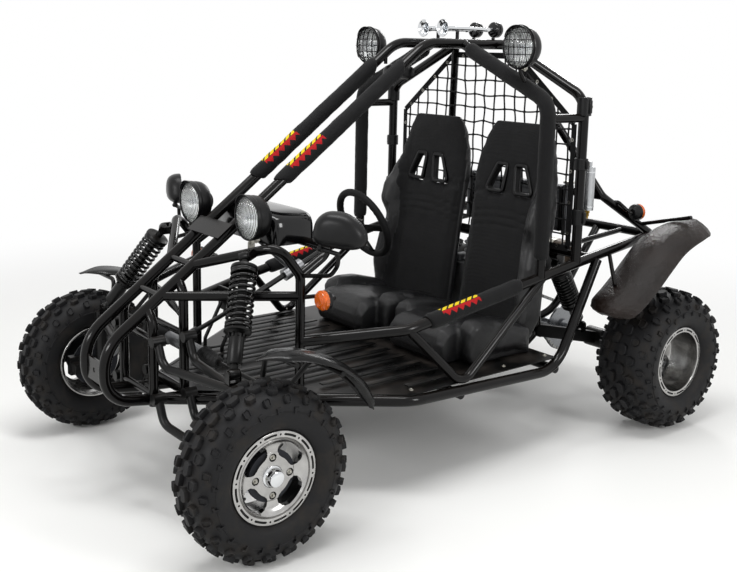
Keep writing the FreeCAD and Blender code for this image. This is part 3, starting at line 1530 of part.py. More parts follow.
BRACKET_share = 0.4
BRACKET_RISE_share = 0.9
REAR_FENDER_shares = (
    (-0.560, 0.930, 0.74, 0.40), (-0.472, 1.007, 0.94, 0.80), (-0.351, 1.100, 1.00, 1.00),
    (-0.229, 1.202, 1.00, 1.00), (-0.093, 1.304, 1.00, 1.00), (0.075, 1.370, 1.00, 1.00),
    (0.200, 1.398, 0.92, 0.85), (0.265, 1.400, 0.74, 0.50),
)


def build_net():
    """Cord net with a webbing border in the rear hoop's opening, behind the seats."""
    outline = [(a * hoop_rear_half, net_z(b)) for a, b in NET_shares]
    border = flat(outline, 0, net_wall)
    inner = [(a * hoop_rear_half * NET_INNER_share,
              net_z(b) - (net_z(b) - net_z(0.5)) * (1 - NET_INNER_share))
             for a, b in NET_shares]
    hole = flat(inner, -overrun, net_wall + 2 * overrun)
    frame = border.cut(hole)
    cords = []
    count = int(hoop_rear_half / net_pitch) + 1
    for index in range(-count, count + 1):
        cords.append(slab(V(index * net_pitch - net_cord_d / 2, 0, net_z(0)),
                          V(index * net_pitch + net_cord_d / 2, net_wall, net_z(1))))
    rows = int((net_z(1) - net_z(0)) / net_pitch)
    for index in range(1, rows + 1):
        z = net_z(0) + index * net_pitch
        cords.append(slab(V(-hoop_rear_half, 0, z - net_cord_d / 2),
                          V(hoop_rear_half, net_wall, z + net_cord_d / 2)))
    grid = cords[0].multiFuse(cords[1:]).common(flat(outline, 0, net_wall))
    net = frame.fuse(grid)
    net.translate(V(0, hoop_rear_y + main_tube_d / 2 + seat_gap, 0))
    put("net", notched(net))


def net_z(share):
    """Height in the net, from its lower edge at 0 to its upper edge at 1."""
    low = rail_hoop_z + main_tube_d
    high = roof_z - main_tube_d
    return low + share * (high - low)


NET_shares = ((-0.9, 0.0), (0.9, 0.0), (0.9, 0.66), (0.34, 1.0), (-0.34, 1.0), (-0.9, 0.66))
NET_INNER_share = 0.93


def build_dash():
    """Glossy instrument housing on the dash tube, with a round gauge in its rear face."""
    seat_z = dash_z + side_tube_d / 2 + seat_gap
    skirt_y = dash_y + side_tube_d / 2 + seat_gap
    corners = [
        V(-cowl_half, cowl_front_y, seat_z), V(-cowl_half, cowl_front_y, cowl_brow_z),
        V(-cowl_half, cowl_front_y + cowl_round, cowl_top_z), V(-cowl_half, cowl_rear_y, cowl_rear_z),
        V(-cowl_half, cowl_rear_y, cowl_skirt_z), V(-cowl_half, skirt_y, cowl_skirt_z),
        V(-cowl_half, skirt_y, seat_z),
    ]
    housing = Part.Face(Part.makePolygon(corners + [corners[0]])).extrude(V(2 * cowl_half, 0, 0))
    rounded = []
    for edge in housing.Edges:
        box = edge.BoundBox
        high = box.ZMin > seat_z
        if high and (box.XLength > cowl_half or box.YLength > cowl_round / 2):
            rounded.append(edge)
    housing = housing.makeFillet(cowl_round * COWL_FILLET_share, rounded)
    middle = V(gauge_x, cowl_rear_y, (cowl_rear_z + cowl_skirt_z) / 2)
    inset = V(0, gauge_inset, 0)
    housing = housing.cut(rod(middle - inset, middle + inset, gauge_d * GAUGE_SIZE_share))
    gauge = rod(middle - inset + V(0, seat_gap, 0), middle - inset + V(0, gauge_wall, 0),
                gauge_d * GAUGE_SIZE_share - 2 * seat_gap)
    put("dash", notched(housing), gauge)


COWL_FILLET_share = 0.4
GAUGE_SIZE_share = 0.72


def build_nose():
    """Plate bolted across the spine tubes and the towing plate in the nose."""
    spot = spine_at(nose_plate_y)
    slope = unit(spine_at(roof_bend_y) - spine_at(nose_y))
    normal = unit(V(1, 0, 0).cross(slope))
    start = V(-nose_plate_width / 2, spot.y, spot.z) + normal * (main_tube_d / 2 + seat_gap)
    flat_slope = unit(V(0, slope.y, slope.z))
    corners = [
        start, start + V(nose_plate_width, 0, 0),
        start + V(nose_plate_width, 0, 0) + flat_slope * nose_plate_length,
        start + flat_slope * nose_plate_length,
    ]
    plate = Part.Face(Part.makePolygon(corners + [corners[0]])).extrude(normal * nose_plate_wall)
    put("nose_plates", notched(plate))
    middle = V(0, nose_y, (nose_low_z + nose_high_z) / 2)
    tow = slab(V(-spine_half, nose_y - tow_plate_wall / 2, middle.z - main_tube_d),
               V(spine_half, nose_y + tow_plate_wall / 2, middle.z + main_tube_d))
    hole = rod(middle - V(0, overrun + tow_plate_wall, 0),
               middle + V(0, overrun + tow_plate_wall, 0), tow_hole_d)
    put("nose_plates", notched(tow.cut(hole)))


def export():
    """Moves every piece to the row's origin and writes it."""
    os.makedirs("parts", exist_ok=True)
    for node, shapes in sorted(NODES.items()):
        solids = []
        for shape in shapes:
            solids.extend(shape.Solids)
        whole = solids[0] if len(solids) == 1 else Part.makeCompound(solids)
        whole.translate(V(0, -origin_y, 0))
        whole.exportStep("parts/" + node + ".step")


build_cage()
build_pads()
build_floor()
build_seats()
build_wheels()
build_rear_axle()
build_front_suspension()
build_steering()
build_pedals()
build_engine()
build_lamps()
build_horns()
build_mirrors()
build_rear_fenders()
build_canister()
build_net()
build_dash()
build_nose()
export()
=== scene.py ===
import math

import bmesh
import bpy
from mathutils import Matrix, Vector, noise


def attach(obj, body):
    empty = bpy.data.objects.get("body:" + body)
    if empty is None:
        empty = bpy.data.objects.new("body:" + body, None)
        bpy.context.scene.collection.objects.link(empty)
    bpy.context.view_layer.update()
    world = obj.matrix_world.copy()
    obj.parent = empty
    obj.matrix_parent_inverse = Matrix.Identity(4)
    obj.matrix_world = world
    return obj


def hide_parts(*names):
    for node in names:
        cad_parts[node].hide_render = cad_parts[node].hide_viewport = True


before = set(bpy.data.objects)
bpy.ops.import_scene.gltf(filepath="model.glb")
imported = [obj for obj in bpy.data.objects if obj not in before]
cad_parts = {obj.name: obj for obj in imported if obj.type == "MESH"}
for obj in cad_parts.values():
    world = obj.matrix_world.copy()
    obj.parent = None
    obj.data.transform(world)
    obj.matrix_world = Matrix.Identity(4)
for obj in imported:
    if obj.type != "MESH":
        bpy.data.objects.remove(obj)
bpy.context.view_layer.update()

bl_info = {
    "name": "Dune buggy dresser",
    "version": (1, 0, 0),
    "blender": (4, 5, 0),
    "location": "3D View > Sidebar > Buggy",
    "description": "Dresses the packed dune buggy with tyres, rims, seats, lamps, paint and a studio",
    "category": "Object",
}

# Lengths in this file are millimetres of the drawing, whose origin is under the middle of the
# wheelbase. The row's origin lies ORIGIN_Y further back.
MM = 0.001
ORIGIN_Y = 6.5
FULL = 2 * math.pi
ORIGIN = Vector((0, 0, 0))
X = Vector((1, 0, 0))
Y = Vector((0, 1, 0))
Z = Vector((0, 0, 1))
SIDES = ((1, "left"), (-1, "right"))
# turns a form's X, Y and Z to Y, Z and X, so that a flat outline faces along X
FLAT = Matrix(((0, 0, 1, 0), (1, 0, 0, 0), (0, 1, 0, 0), (0, 0, 0, 1)))


def linear(hex_colour):
    """Linear RGBA of an sRGB hex colour."""
    parts = [int(hex_colour[i:i + 2], 16) / 255 for i in (1, 3, 5)]
    return tuple(p / 12.92 if p <= 0.04045 else ((p + 0.055) / 1.055) ** 2.4 for p in parts) + (1.0,)


# a wave texture repeats this much less often than its scale says
WAVE = math.pi / 10


def per(size):
    """Texture scale, in repeats a metre, of a pattern whose repeat is that many millimetres."""
    return 1 / (size * MM)


# forms: points in millimetres, faces, and each point's place along and round its sweep

class Form:
    """Points and faces of a part of a piece."""

    def __init__(self, points=(), faces=(), route=None):
        self.points = [Vector(p) for p in points]
        self.faces = [tuple(f) for f in faces]
        self.route = list(route) if route else [(0.0, 0.0)] * len(self.points)

    def moved(self, matrix):
        """The same form through a matrix."""
        return Form([matrix @ p for p in self.points], self.faces, self.route)

    def at(self, *spot):
        """The same form shifted."""
        return self.moved(Matrix.Translation(spot))

    def mirrored(self):
        """The same form on the vehicle's other side."""
        points = [Vector((-p.x, p.y, p.z)) for p in self.points]
        return Form(points, [f[::-1] for f in self.faces], self.route)

    def where(self, rule):
        """Two forms: the faces whose middle passes a rule, and the rest."""
        first, second = [], []
        for face in self.faces:
            middle = sum((self.points[i] for i in face), Vector()) / len(face)
            (first if rule(middle) else second).append(face)
        return Form(self.points, first, self.route), Form(self.points, second, self.route)

    def shaped(self, rule):
        """The same form with each point put through a rule."""
        return Form([rule(p) for p in self.points], self.faces, self.route)


def joined(*forms):
    """Several forms as one."""
    points, faces, route = [], [], []
    for form in forms:
        shift = len(points)
        points.extend(form.points)
        route.extend(form.route)
        faces.extend(tuple(i + shift for i in f) for f in form.faces)
    return Form(points, faces, route)


def across(direction):
    """Two unit vectors square to a direction and to each other."""
    direction = Vector(direction).normalized()
    hint = Z if abs(direction.z) < 0.9 else X
    side = hint.cross(direction).normalized()
    return side, direction.cross(side)


def net_of(rows, steps, closed=False, capped=False):
    """Quads between rings of points; closed joins the last ring to the first, capped shuts both."""
    faces = []
    for i in range(rows if closed else rows - 1):
        j = (i + 1) % rows
        for k in range(steps):
            m = (k + 1) % steps
            faces.append((i * steps + k, i * steps + m, j * steps + m, j * steps + k))
    if capped:
        faces += [tuple(range(steps))[::-1], tuple(range((rows - 1) * steps, rows * steps))]
    return faces


def lathe(profile, centre, axis, steps=48, closed=False):
    """Surface turned about an axis, from (along, radius) pairs."""
    along = Vector(axis).normalized()
    side, other = across(along)
    centre = Vector(centre)
    points, route = [], []
    for a, r in profile:
        for k in range(steps):
            turn = FULL * k / steps
            points.append(centre + along * a + (side * math.cos(turn) + other * math.sin(turn)) * r)
            route.append((a, k / steps))
    return Form(points, net_of(len(profile), steps, closed), route)


def sweep(path, radius, steps=12, ring=False):
    """Round tube along a path, or along a ring of points."""
    path = [Vector(p) for p in path]
    count = len(path)
    points, route = [], []
    length = 0.0
    side = None
    for i, spot in enumerate(path):
        before = path[i - 1] if i or ring else path[0]
        after = path[(i + 1) % count] if i < count - 1 or ring else path[-1]
        along = (after - before).normalized()
        if side is None:
            side = across(along)[0]
        side = (side - along * side.dot(along)).normalized()
        other = along.cross(side)
        if i:
            length += (spot - path[i - 1]).length
        for k in range(steps):
            turn = FULL * k / steps
            points.append(spot + (side * math.cos(turn) + other * math.sin(turn)) * radius)
            route.append((length, k / steps))
    return Form(points, net_of(count, steps, ring, not ring), route)


def rounded(points, bend, parts=6):
    """Path of straight runs whose corners are rounded to a radius."""
    points = [Vector(p) for p in points]
    path = [points[0]]
    for a, b, c in zip(points, points[1:], points[2:]):
        into, out = (a - b), (c - b)
        half = (math.pi - into.angle(out)) / 2
        reach = min(bend * math.tan(half), 0.48 * min(into.length, out.length))
        start = b + into.normalized() * reach
        stop = b + out.normalized() * reach
        for k in range(parts + 1):
            t = k / parts
            path.append(start * (1 - t) ** 2 + b * (2 * t * (1 - t)) + stop * t ** 2)
    path.append(points[-1])
    return path


def spaced(path, step):
    """The same path with points no further apart than a step."""
    made = [path[0]]
    for a, b in zip(path, path[1:]):
        parts = max(1, math.ceil((b - a).length / step))
        made.extend(a.lerp(b, k / parts) for k in range(1, parts + 1))
    return made


def bar(start, stop, radius, steps=16, edge=0.0):
    """Straight round bar with its rims eased."""
    start, stop = Vector(start), Vector(stop)
    length = (stop - start).length
    edge = min(edge, radius * 0.6, length * 0.4)
    profile = [(0, 0), (0, radius - edge), (edge, radius), (length - edge, radius), (length, radius - edge),
               (length, 0)]
    return lathe(profile, start, stop - start, steps)


def block(low, high, edge=2.0, parts=2):
    """Box between two corners with rounded edges."""
    low, high = Vector(low), Vector(high)
    bm = bmesh.new()
    bmesh.ops.create_cube(bm, size=1.0)
    size = high - low
    for v in bm.verts:
        v.co = Vector(((v.co.x + 0.5) * size.x, (v.co.y + 0.5) * size.y, (v.co.z + 0.5) * size.z)) + low
    if edge:
        bmesh.ops.bevel(bm, geom=bm.edges[:], offset=min(edge, min(size) * 0.45), segments=parts, profile=0.5,
                        affect="EDGES")
    bm.verts.index_update()
    form = Form([v.co.copy() for v in bm.verts], [tuple(v.index for v in f.verts) for f in bm.faces])
    bm.free()
    return form


def circle(radius, steps=32, centre=(0, 0), start=0.0, span=FULL):
    """Points round a circle or an arc of it."""
    count = steps if span == FULL else steps + 1
    return [(centre[0] + radius * math.cos(start + span * k / steps),
             centre[1] + radius * math.sin(start + span * k / steps)) for k in range(count)]


def slot_hole(radius, half_width, angle, half_angle, steps=8):
    """Arc-shaped hole with round ends about the origin."""
    loop = circle(radius + half_width, steps, (0, 0), angle - half_angle, 2 * half_angle)
    for way, end in ((1, angle + half_angle), (-1, angle - half_angle)):
        middle = (radius * math.cos(end), radius * math.sin(end))
        start = end if way > 0 else end + math.pi
        loop += circle(half_width, 6, middle, start, math.pi)[1:-1]
        if way > 0:
            loop += circle(radius - half_width, steps, (0, 0), angle + half_angle, -2 * half_angle)
    return loop


def curve_through(points, parts=8):
    """Smooth path through points, by a Catmull-Rom spline."""
    points = [Vector(p) for p in points]
    ends = [points[0] * 2 - points[1]] + points + [points[-1] * 2 - points[-2]]
    path = []
    for a, b, c, d in zip(ends, ends[1:], ends[2:], ends[3:]):
        for k in range(parts):
            t = k / parts
            path.append(0.5 * (2 * b + (c - a) * t + (2 * a - 5 * b + 4 * c - d) * t ** 2
                               + (3 * b - a - 3 * c + d) * t ** 3))
    path.append(points[-1])
    return path


def value_at(table, x):
    """Smoothly read value of a table of (x, value) pairs."""
    if x <= table[0][0]:
        return table[0][1]
    for (a, va), (b, vb) in zip(table, table[1:]):
        if x <= b:
            t = (x - a) / (b - a)
            t = t * t * (3 - 2 * t)
            return va + (vb - va) * t
    return table[-1][1]


# forms that Blender works out

def holder_of(form):
    """Temporary object of a form, in metres."""
    mesh = bpy.data.meshes.new("work")
    mesh.from_pydata([p * MM for p in form.points], [], form.faces)
    thing = bpy.data.objects.new("work", mesh)
    bpy.context.scene.collection.objects.link(thing)
    return thing


def form_of(thing, *spent):
    """Form of an object with its modifiers applied; it and the spent ones are removed."""
    shown = thing.evaluated_get(bpy.context.evaluated_depsgraph_get())
    mesh = shown.to_mesh()
    form = Form([v.co / MM for v in mesh.vertices], [tuple(f.vertices) for f in mesh.polygons])
    shown.to_mesh_clear()
    for old in (thing, *spent):
        data = old.data
        bpy.data.objects.remove(old)
        bpy.data.meshes.remove(data)
    return form


def cut(form, *cutters):
    """A form with the space of others taken out."""
    thing, tool = holder_of(form), holder_of(joined(*cutters))
    change = thing.modifiers.new("cut", "BOOLEAN")
    change.operation = "DIFFERENCE"
    change.solver = "EXACT"
    change.object = tool
    bpy.context.view_layer.update()
    return form_of(thing, tool)


def prism(outline, low, high, matrix):
    """Solid between two heights over an outline in X and Y, put somewhere by a matrix."""
    count = len(outline)
    points = [(a, b, h) for h in (low, high) for a, b in outline]
    faces = [tuple(range(count))[::-1], tuple(range(count, 2 * count))]
    faces += [(i, (i + 1) % count, count + (i + 1) % count, count + i) for i in range(count)]
    return Form(points, faces).moved(matrix)


def swelled(form, voxel, pressure, cap):
    """Filled cover: the form remeshed and blown up by cloth simulation, no point beyond the cap."""
    thing = holder_of(form)
    net = thing.modifiers.new("net", "REMESH")
    net.mode = "VOXEL"
    net.voxel_size = voxel * MM
    bpy.context.view_layer.update()
    even = form_of(thing)
    thing = holder_of(even)
    cover = thing.modifiers.new("cover", "CLOTH")
    cover.settings.use_pressure = True
    cover.settings.uniform_pressure_force = pressure
    cover.settings.effector_weights.gravity = 0.0
    cover.settings.quality = 4
    scene = bpy.context.scene
    for number in range(1, 21):
        scene.frame_set(number)
    blown = form_of(thing)
    scene.frame_set(1)
    points = []
    for old, new in zip(even.points, blown.points):
        step = new - old
        points.append(old + step * min(1.0, cap / max(step.length, 0.001)))
    return Form(points, even.faces)


# pieces

FINISHES = {}


def finish(name):
    """The material of a name."""
    if name not in FINISHES:
        FINISHES[name] = MAKERS[name](name)
    return FINISHES[name]


def piece(name, forms, body, slot, stands_for, centre, sharp=32, bevel=0.0, divide=0):
    """Object from (form, finish) pairs, riding on a body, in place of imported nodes; its origin is a centre."""
    centre = Vector(centre)
    mesh = bpy.data.meshes.new(name)
    whole = joined(*[f for f, _ in forms])
    mesh.from_pydata([(p - centre) * MM for p in whole.points], [], whole.faces)
    route = mesh.attributes.new("route", "FLOAT_VECTOR", "POINT")
    for spot, (a, b) in zip(route.data, whole.route):
        spot.vector = (a * MM, math.cos(b * FULL), math.sin(b * FULL))
    index = 0
    for number, (form, skin) in enumerate(forms):
        mesh.materials.append(finish(skin))
        for _ in form.faces:
            mesh.polygons[index].material_index = number
            index += 1
    bm = bmesh.new()
    bm.from_mesh(mesh)
    bmesh.ops.remove_doubles(bm, verts=bm.verts, dist=0.01 * MM)
    bmesh.ops.dissolve_degenerate(bm, dist=0.005 * MM, edges=bm.edges)
    bmesh.ops.recalc_face_normals(bm, faces=bm.faces)
    bm.to_mesh(mesh)
    bm.free()
    mesh.shade_smooth()
    mesh.set_sharp_from_angle(angle=math.radians(sharp))
    thing = bpy.data.objects.new(name, mesh)
    bpy.context.scene.collection.objects.link(thing)
    thing.location = (centre - Vector((0, ORIGIN_Y, 0))) * MM
    if bevel:
        ease = thing.modifiers.new("ease", "BEVEL")
        ease.width = bevel * MM
        ease.segments = 2
        ease.limit_method = "ANGLE"
        ease.angle_limit = math.radians(35)
        ease.harden_normals = True
    if divide:
        smooth = thing.modifiers.new("divide", "SUBSURF")
        smooth.levels = smooth.render_levels = divide
    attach(thing, body)
    if stands_for:
        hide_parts(*stands_for)
    return thing


def pair(name, forms, body, slot, stands_for, centre, **settings):
    """Left piece and its mirror image; {} in a name or node is the side's word, in a body its letter."""
    made = []
    for side, word in SIDES:
        if side < 0:
            forms = [(form.mirrored(), skin) for form, skin in forms]
        nodes = [node.format(word) for node in stands_for]
        made.append(piece(name.format(word), forms, body.format(word[0]), slot, nodes,
                          (side * centre[0], centre[1], centre[2]), **settings))
    return made


# materials

def add(tree, kind, values=(), to=None, out=0, **settings):
    """Adds a node with its settings and links; each value is a number, a node or a node's output."""
    node = tree.nodes.new("ShaderNode" + kind)
    for name, value in settings.items():
        setattr(node, name, value)
    for socket, value in dict(values).items():
        if isinstance(value, bpy.types.Node):
            value = value.outputs[0]
        if isinstance(value, bpy.types.NodeSocket):
            tree.links.new(value, node.inputs[socket])
        else:
            node.inputs[socket].default_value = value
    if to:
        tree.links.new(node.outputs[out], to)
    return node


def started(name, colour, roughness, metallic=0.0, **values):
    """New material with its main shader, as (material, tree, shader, object coordinates)."""
    material = bpy.data.materials.new(name)
    material.use_nodes = True
    tree = material.node_tree
    tree.nodes.clear()
    shader = add(tree, "BsdfPrincipled", {"Base Color": linear(colour), "Roughness": roughness,
                                          "Metallic": metallic, **values})
    add(tree, "OutputMaterial", {"Surface": shader})
    place = add(tree, "TexCoord").outputs["Object"]
    return material, tree, shader, place


def dressed(tree, shader, mask, colours, wide, gloss, height, depth):
    """Leads a shader: colour between two by a mask, roughness between two by a noise, relief by a height."""
    add(tree, "Mix", {0: mask, 6: colours[0], 7: colours[1]}, shader.inputs["Base Color"], 2, data_type="RGBA")
    add(tree, "MapRange", {"Value": wide, "To Min": gloss[0], "To Max": gloss[1]}, shader.inputs["Roughness"])
    add(tree, "Bump", {"Height": height, "Distance": depth * MM}, shader.inputs["Normal"])


def painted(colour, dust, roughness, peel, cover=(0.25, 0.7), level=0.25):
    """Maker of a baked enamel or powder coat: a dark gloss film with orange peel, dusty where it faces up."""
    def make(name):
        material, tree, shader, place = started(
            name, colour, roughness, **{"IOR": 1.46, "Specular IOR Level": level})
        wide = add(tree, "TexNoise", {"Vector": place, "Scale": per(140), "Detail": 5.0})
        fine = add(tree, "TexNoise", {"Vector": place, "Scale": per(3.5), "Detail": 2.0})
        up = add(tree, "SeparateXYZ", {0: add(tree, "NewGeometry").outputs["Normal"]})
        film = add(tree, "Math", {0: wide, 1: up.outputs[2]}, operation="MULTIPLY")
        veil = add(tree, "MapRange", {"Value": film, "From Min": cover[0], "From Max": cover[1]})
        dressed(tree, shader, veil, (linear(colour), linear(dust)), wide, (roughness * 0.7, roughness * 1.5),
                fine, peel)
        return material
    return make


def rubber(name):
    """Vulcanised tyre rubber: dull black, with patches of brown road dust."""
    material, tree, shader, place = started(name, "#101012", 0.62, **{"IOR": 1.5, "Specular IOR Level": 0.25})
    wide = add(tree, "TexNoise", {"Vector": place, "Scale": per(60), "Detail": 6.0, "Roughness": 0.6})
    fine = add(tree, "TexNoise", {"Vector": place, "Scale": per(2.5), "Detail": 3.0})
    dust = add(tree, "MapRange", {"Value": wide, "From Min": 0.48, "From Max": 0.75})
    dressed(tree, shader, dust, (linear("#0c0c0e"), linear("#231f1b")), wide, (0.45, 0.75), fine, 0.25)
    return material


def turned_metal(name):
    """Machined aluminium casting: bright, with fine tool rings round the wheel's axis."""
    material, tree, shader, place = started(name, "#bfc0c2", 0.2, 1.0)
    parts = add(tree, "SeparateXYZ", {0: place})
    flat = add(tree, "CombineXYZ", {1: parts.outputs[1], 2: parts.outputs[2]})
    radius = add(tree, "VectorMath", {0: flat}, operation="LENGTH")
    line = add(tree, "CombineXYZ", {0: radius.outputs["Value"], 1: parts.outputs[0]})
    # real tool rings are 0.3 mm apart; they are drawn 1.6 mm apart so that they show
    rings = add(tree, "TexNoise", {"Vector": line, "Scale": per(1.6), "Detail": 1.0})
    wide = add(tree, "TexNoise", {"Vector": place, "Scale": per(35), "Detail": 4.0})
    dressed(tree, shader, wide, (linear("#8b8a89"), linear("#c6c5c3")), wide, (0.12, 0.3), rings, 0.05)
    return material


def plain_metal(colour, roughness, grain, depth, tarnish=0.75):
    """Maker of a cast, plated or ground metal: a fine grain in mm and an uneven, partly tarnished gloss."""
    def make(name):
        material, tree, shader, place = started(name, colour, roughness, 1.0)
        wide = add(tree, "TexNoise", {"Vector": place, "Scale": per(grain * 12), "Detail": 5.0})
        fine = add(tree, "TexNoise", {"Vector": place, "Scale": per(grain), "Detail": 3.0})
        dull = [c * tarnish for c in linear(colour)[:3]] + [1.0]
        dressed(tree, shader, wide, (dull, linear(colour)), wide, (roughness * 0.6, min(1.0, roughness * 1.5)),
                fine, depth)
        return material
    return make


def finned(name):
    """Radiator core: upright aluminium fins between flat tubes, with painted shade: near black between the fins, light
    grey on them.
    """
    material, tree, shader, place = started(name, "#6f7174", 0.5, 1.0)
    # real fins are 1.6 mm apart; they are drawn 5 mm apart so that they show
    fins = add(tree, "TexWave", {"Vector": place, "Scale": per(5) * WAVE}, bands_direction="X")
    wide = add(tree, "TexNoise", {"Vector": place, "Scale": per(50), "Detail": 4.0})
    # painted shade: the colour follows the fins' relief, dark in the gaps between the fins and light on their tops
    deep = add(tree, "Math", {0: fins.outputs["Fac"], 1: wide}, operation="MULTIPLY")
    add(tree, "Mix", {0: deep, 6: linear("#1b1b1c"), 7: linear("#a2a4a8")}, shader.inputs["Base Color"], 2,
        data_type="RGBA")
    add(tree, "Bump", {"Height": fins.outputs["Fac"], "Distance": 1.5 * MM}, shader.inputs["Normal"])
    return material


def moulded(colour, roughness, grain, depth, scuff="#2c2c2e", ior=1.5, level=0.3):
    """Maker of a moulded plastic or rubber: an even colour, a spark-eroded grain and light scuffs."""
    def make(name):
        material, tree, shader, place = started(
            name, colour, roughness, **{"IOR": ior, "Specular IOR Level": level})
        wide = add(tree, "TexNoise", {"Vector": place, "Scale": per(80), "Detail": 6.0, "Roughness": 0.6})
        fine = add(tree, "TexNoise", {"Vector": place, "Scale": per(grain), "Detail": 3.0})
        marks = add(tree, "MapRange", {"Value": wide, "From Min": 0.55, "From Max": 0.8})
        dressed(tree, shader, marks, (linear(colour), linear(scuff)), wide,
                (roughness * 0.75, min(1.0, roughness * 1.3)), fine, depth)
        return material
    return make


def hammered(name):
    """Hammered polypropylene: glossy black with close shallow dimples, browned by dust."""
    material, tree, shader, place = started(name, "#0a0808", 0.2, **{"IOR": 1.5, "Specular IOR Level": 0.24})
    # real dimples are 5 mm wide; they are drawn 15 mm wide so that they show
    dimples = add(tree, "TexVoronoi", {"Vector": place, "Scale": per(15)})
    wide = add(tree, "TexNoise", {"Vector": place, "Scale": per(120), "Detail": 5.0})
    fine = add(tree, "TexNoise", {"Vector": place, "Scale": per(3), "Detail": 2.0})
    height = add(tree, "Math", {0: dimples, 1: fine}, operation="ADD")
    dressed(tree, shader, wide, (linear("#030303"), linear("#20150f")), wide, (0.12, 0.3), height, 1.8)
    return material


def vinyl(name):
    """Upholstery vinyl: black PVC with a pebbled leather grain and soft highlights."""
    material, tree, shader, place = started(name, "#0a0a0b", 0.36, **{"IOR": 1.5, "Specular IOR Level": 0.45})
    # real pebbles are about 1 mm; they are drawn 2.4 mm wide so that they show
    pebbles = add(tree, "TexVoronoi", {"Vector": place, "Scale": per(2.4)}, feature="DISTANCE_TO_EDGE")
    wide = add(tree, "TexNoise", {"Vector": place, "Scale": per(90), "Detail": 5.0})
    crease = add(tree, "TexNoise", {"Vector": place, "Scale": per(18), "Detail": 4.0})
    step = add(tree, "MapRange", {"Value": pebbles, "From Max": 0.12})
    rough = add(tree, "Math", {0: crease, 1: 4.0, 2: step}, operation="MULTIPLY_ADD")
    dressed(tree, shader, wide, (linear("#060607"), linear("#0e0e10")), wide, (0.24, 0.42), rough, 0.3)
    return material


def woven(colour, thread, sheen, motif=False):
    """Maker of a woven nylon or polyester: a matt black cloth of crossed threads with a soft sheen."""
    def make(name):
        material, tree, shader, place = started(
            name, colour, 0.72, **{"IOR": 1.5, "Specular IOR Level": 0.15, "Sheen Weight": sheen,
                                   "Sheen Roughness": 0.4})
        bands = [add(tree, "TexWave", {"Vector": place, "Scale": per(thread) * WAVE, "Distortion": 1.0},
                     bands_direction=axis).outputs["Fac"] for axis in ("X", "Y", "Z")]
        first = add(tree, "Math", {0: bands[0], 1: bands[1]}, operation="ADD")
        second = add(tree, "Math", {0: first, 1: bands[2]}, operation="ADD")
        wide = add(tree, "TexNoise", {"Vector": place, "Scale": per(45), "Detail": 4.0})
        cloth = add(tree, "Mix", {0: wide, 6: linear(colour), 7: linear("#151516")},
                    data_type="RGBA").outputs[2]
        if motif:
            cloth = overprinted(tree, cloth)
        tree.links.new(cloth, shader.inputs["Base Color"])
        add(tree, "MapRange", {"Value": wide, "To Min": 0.6, "To Max": 0.85}, shader.inputs["Roughness"])
        add(tree, "Bump", {"Height": second, "Distance": 0.3 * MM}, shader.inputs["Normal"])
        return material
    return make


# the sleeves' print, in millimetres along the sleeve
PRINT_MIDDLE = 138
PRINT_HALF = 84
BLOCK_PITCH = 28
TOOTH_PITCH = 30


def overprinted(tree, cloth):
    """Screen print on a sleeve: a row of slanted yellow blocks above a saw-toothed red band."""
    route = add(tree, "SeparateXYZ", {0: add(tree, "Attribute", attribute_name="route").outputs["Vector"]})
    turn = add(tree, "Math", {0: route.outputs[2], 1: route.outputs[1]}, operation="ARCTAN2")
    # a share of the way round: the blocks lie from 0.19 to 0.31, the teeth reach from 0.32 to 0.46
    share = add(tree, "Math", {0: turn, 1: 1 / FULL}, operation="MULTIPLY")
    within = add(tree, "Math", {0: route, 1: PRINT_MIDDLE * MM, 2: PRINT_HALF * MM}, operation="COMPARE")
    lean = add(tree, "Math", {0: share, 1: 0.18, 2: route}, operation="MULTIPLY_ADD")
    count = add(tree, "Math", {0: lean, 1: 1 / (BLOCK_PITCH * MM)}, operation="MULTIPLY")
    part = add(tree, "Math", {0: count}, operation="FRACT")
    block_on = add(tree, "Math", {0: part, 1: 0.68}, operation="LESS_THAN")
    row = add(tree, "Math", {0: share, 1: 0.25, 2: 0.062}, operation="COMPARE")
    tooth = add(tree, "Math", {0: route, 1: TOOTH_PITCH * MM / 2}, operation="PINGPONG")
    edge = add(tree, "Math", {0: tooth, 1: 0.09 / (TOOTH_PITCH * MM / 2), 2: 0.365}, operation="MULTIPLY_ADD")
    below = add(tree, "Math", {0: share, 1: edge}, operation="LESS_THAN")
    above = add(tree, "Math", {0: share, 1: 0.322}, operation="GREATER_THAN")
    for mask, other, ink in ((block_on, row, "#e3c619"), (below, above, "#a5151a")):
        both_on = add(tree, "Math", {0: mask, 1: other}, operation="MULTIPLY")
        shown = add(tree, "Math", {0: both_on, 1: within}, operation="MULTIPLY")
        cloth = add(tree, "Mix", {0: shown, 6: cloth, 7: linear(ink)}, data_type="RGBA").outputs[2]
    return cloth


def glassy(colour, roughness, ior, through=1.0, flutes=0.0):
    """Maker of a clear or tinted moulding that lets light through, with upright flutes if asked."""
    def make(name):
        material, tree, shader, place = started(
            name, colour, roughness, **{"IOR": ior, "Transmission Weight": through})
        wide = add(tree, "TexNoise", {"Vector": place, "Scale": per(30), "Detail": 3.0})
        add(tree, "MapRange", {"Value": wide, "To Min": roughness * 0.6, "To Max": roughness * 1.6},
            shader.inputs["Roughness"])
        if flutes:
            bands = add(tree, "TexWave", {"Vector": place, "Scale": per(flutes) * WAVE}, bands_direction="X")
            add(tree, "Bump", {"Height": bands.outputs["Fac"], "Distance": 1.2 * MM}, shader.inputs["Normal"])
        return material
    return make


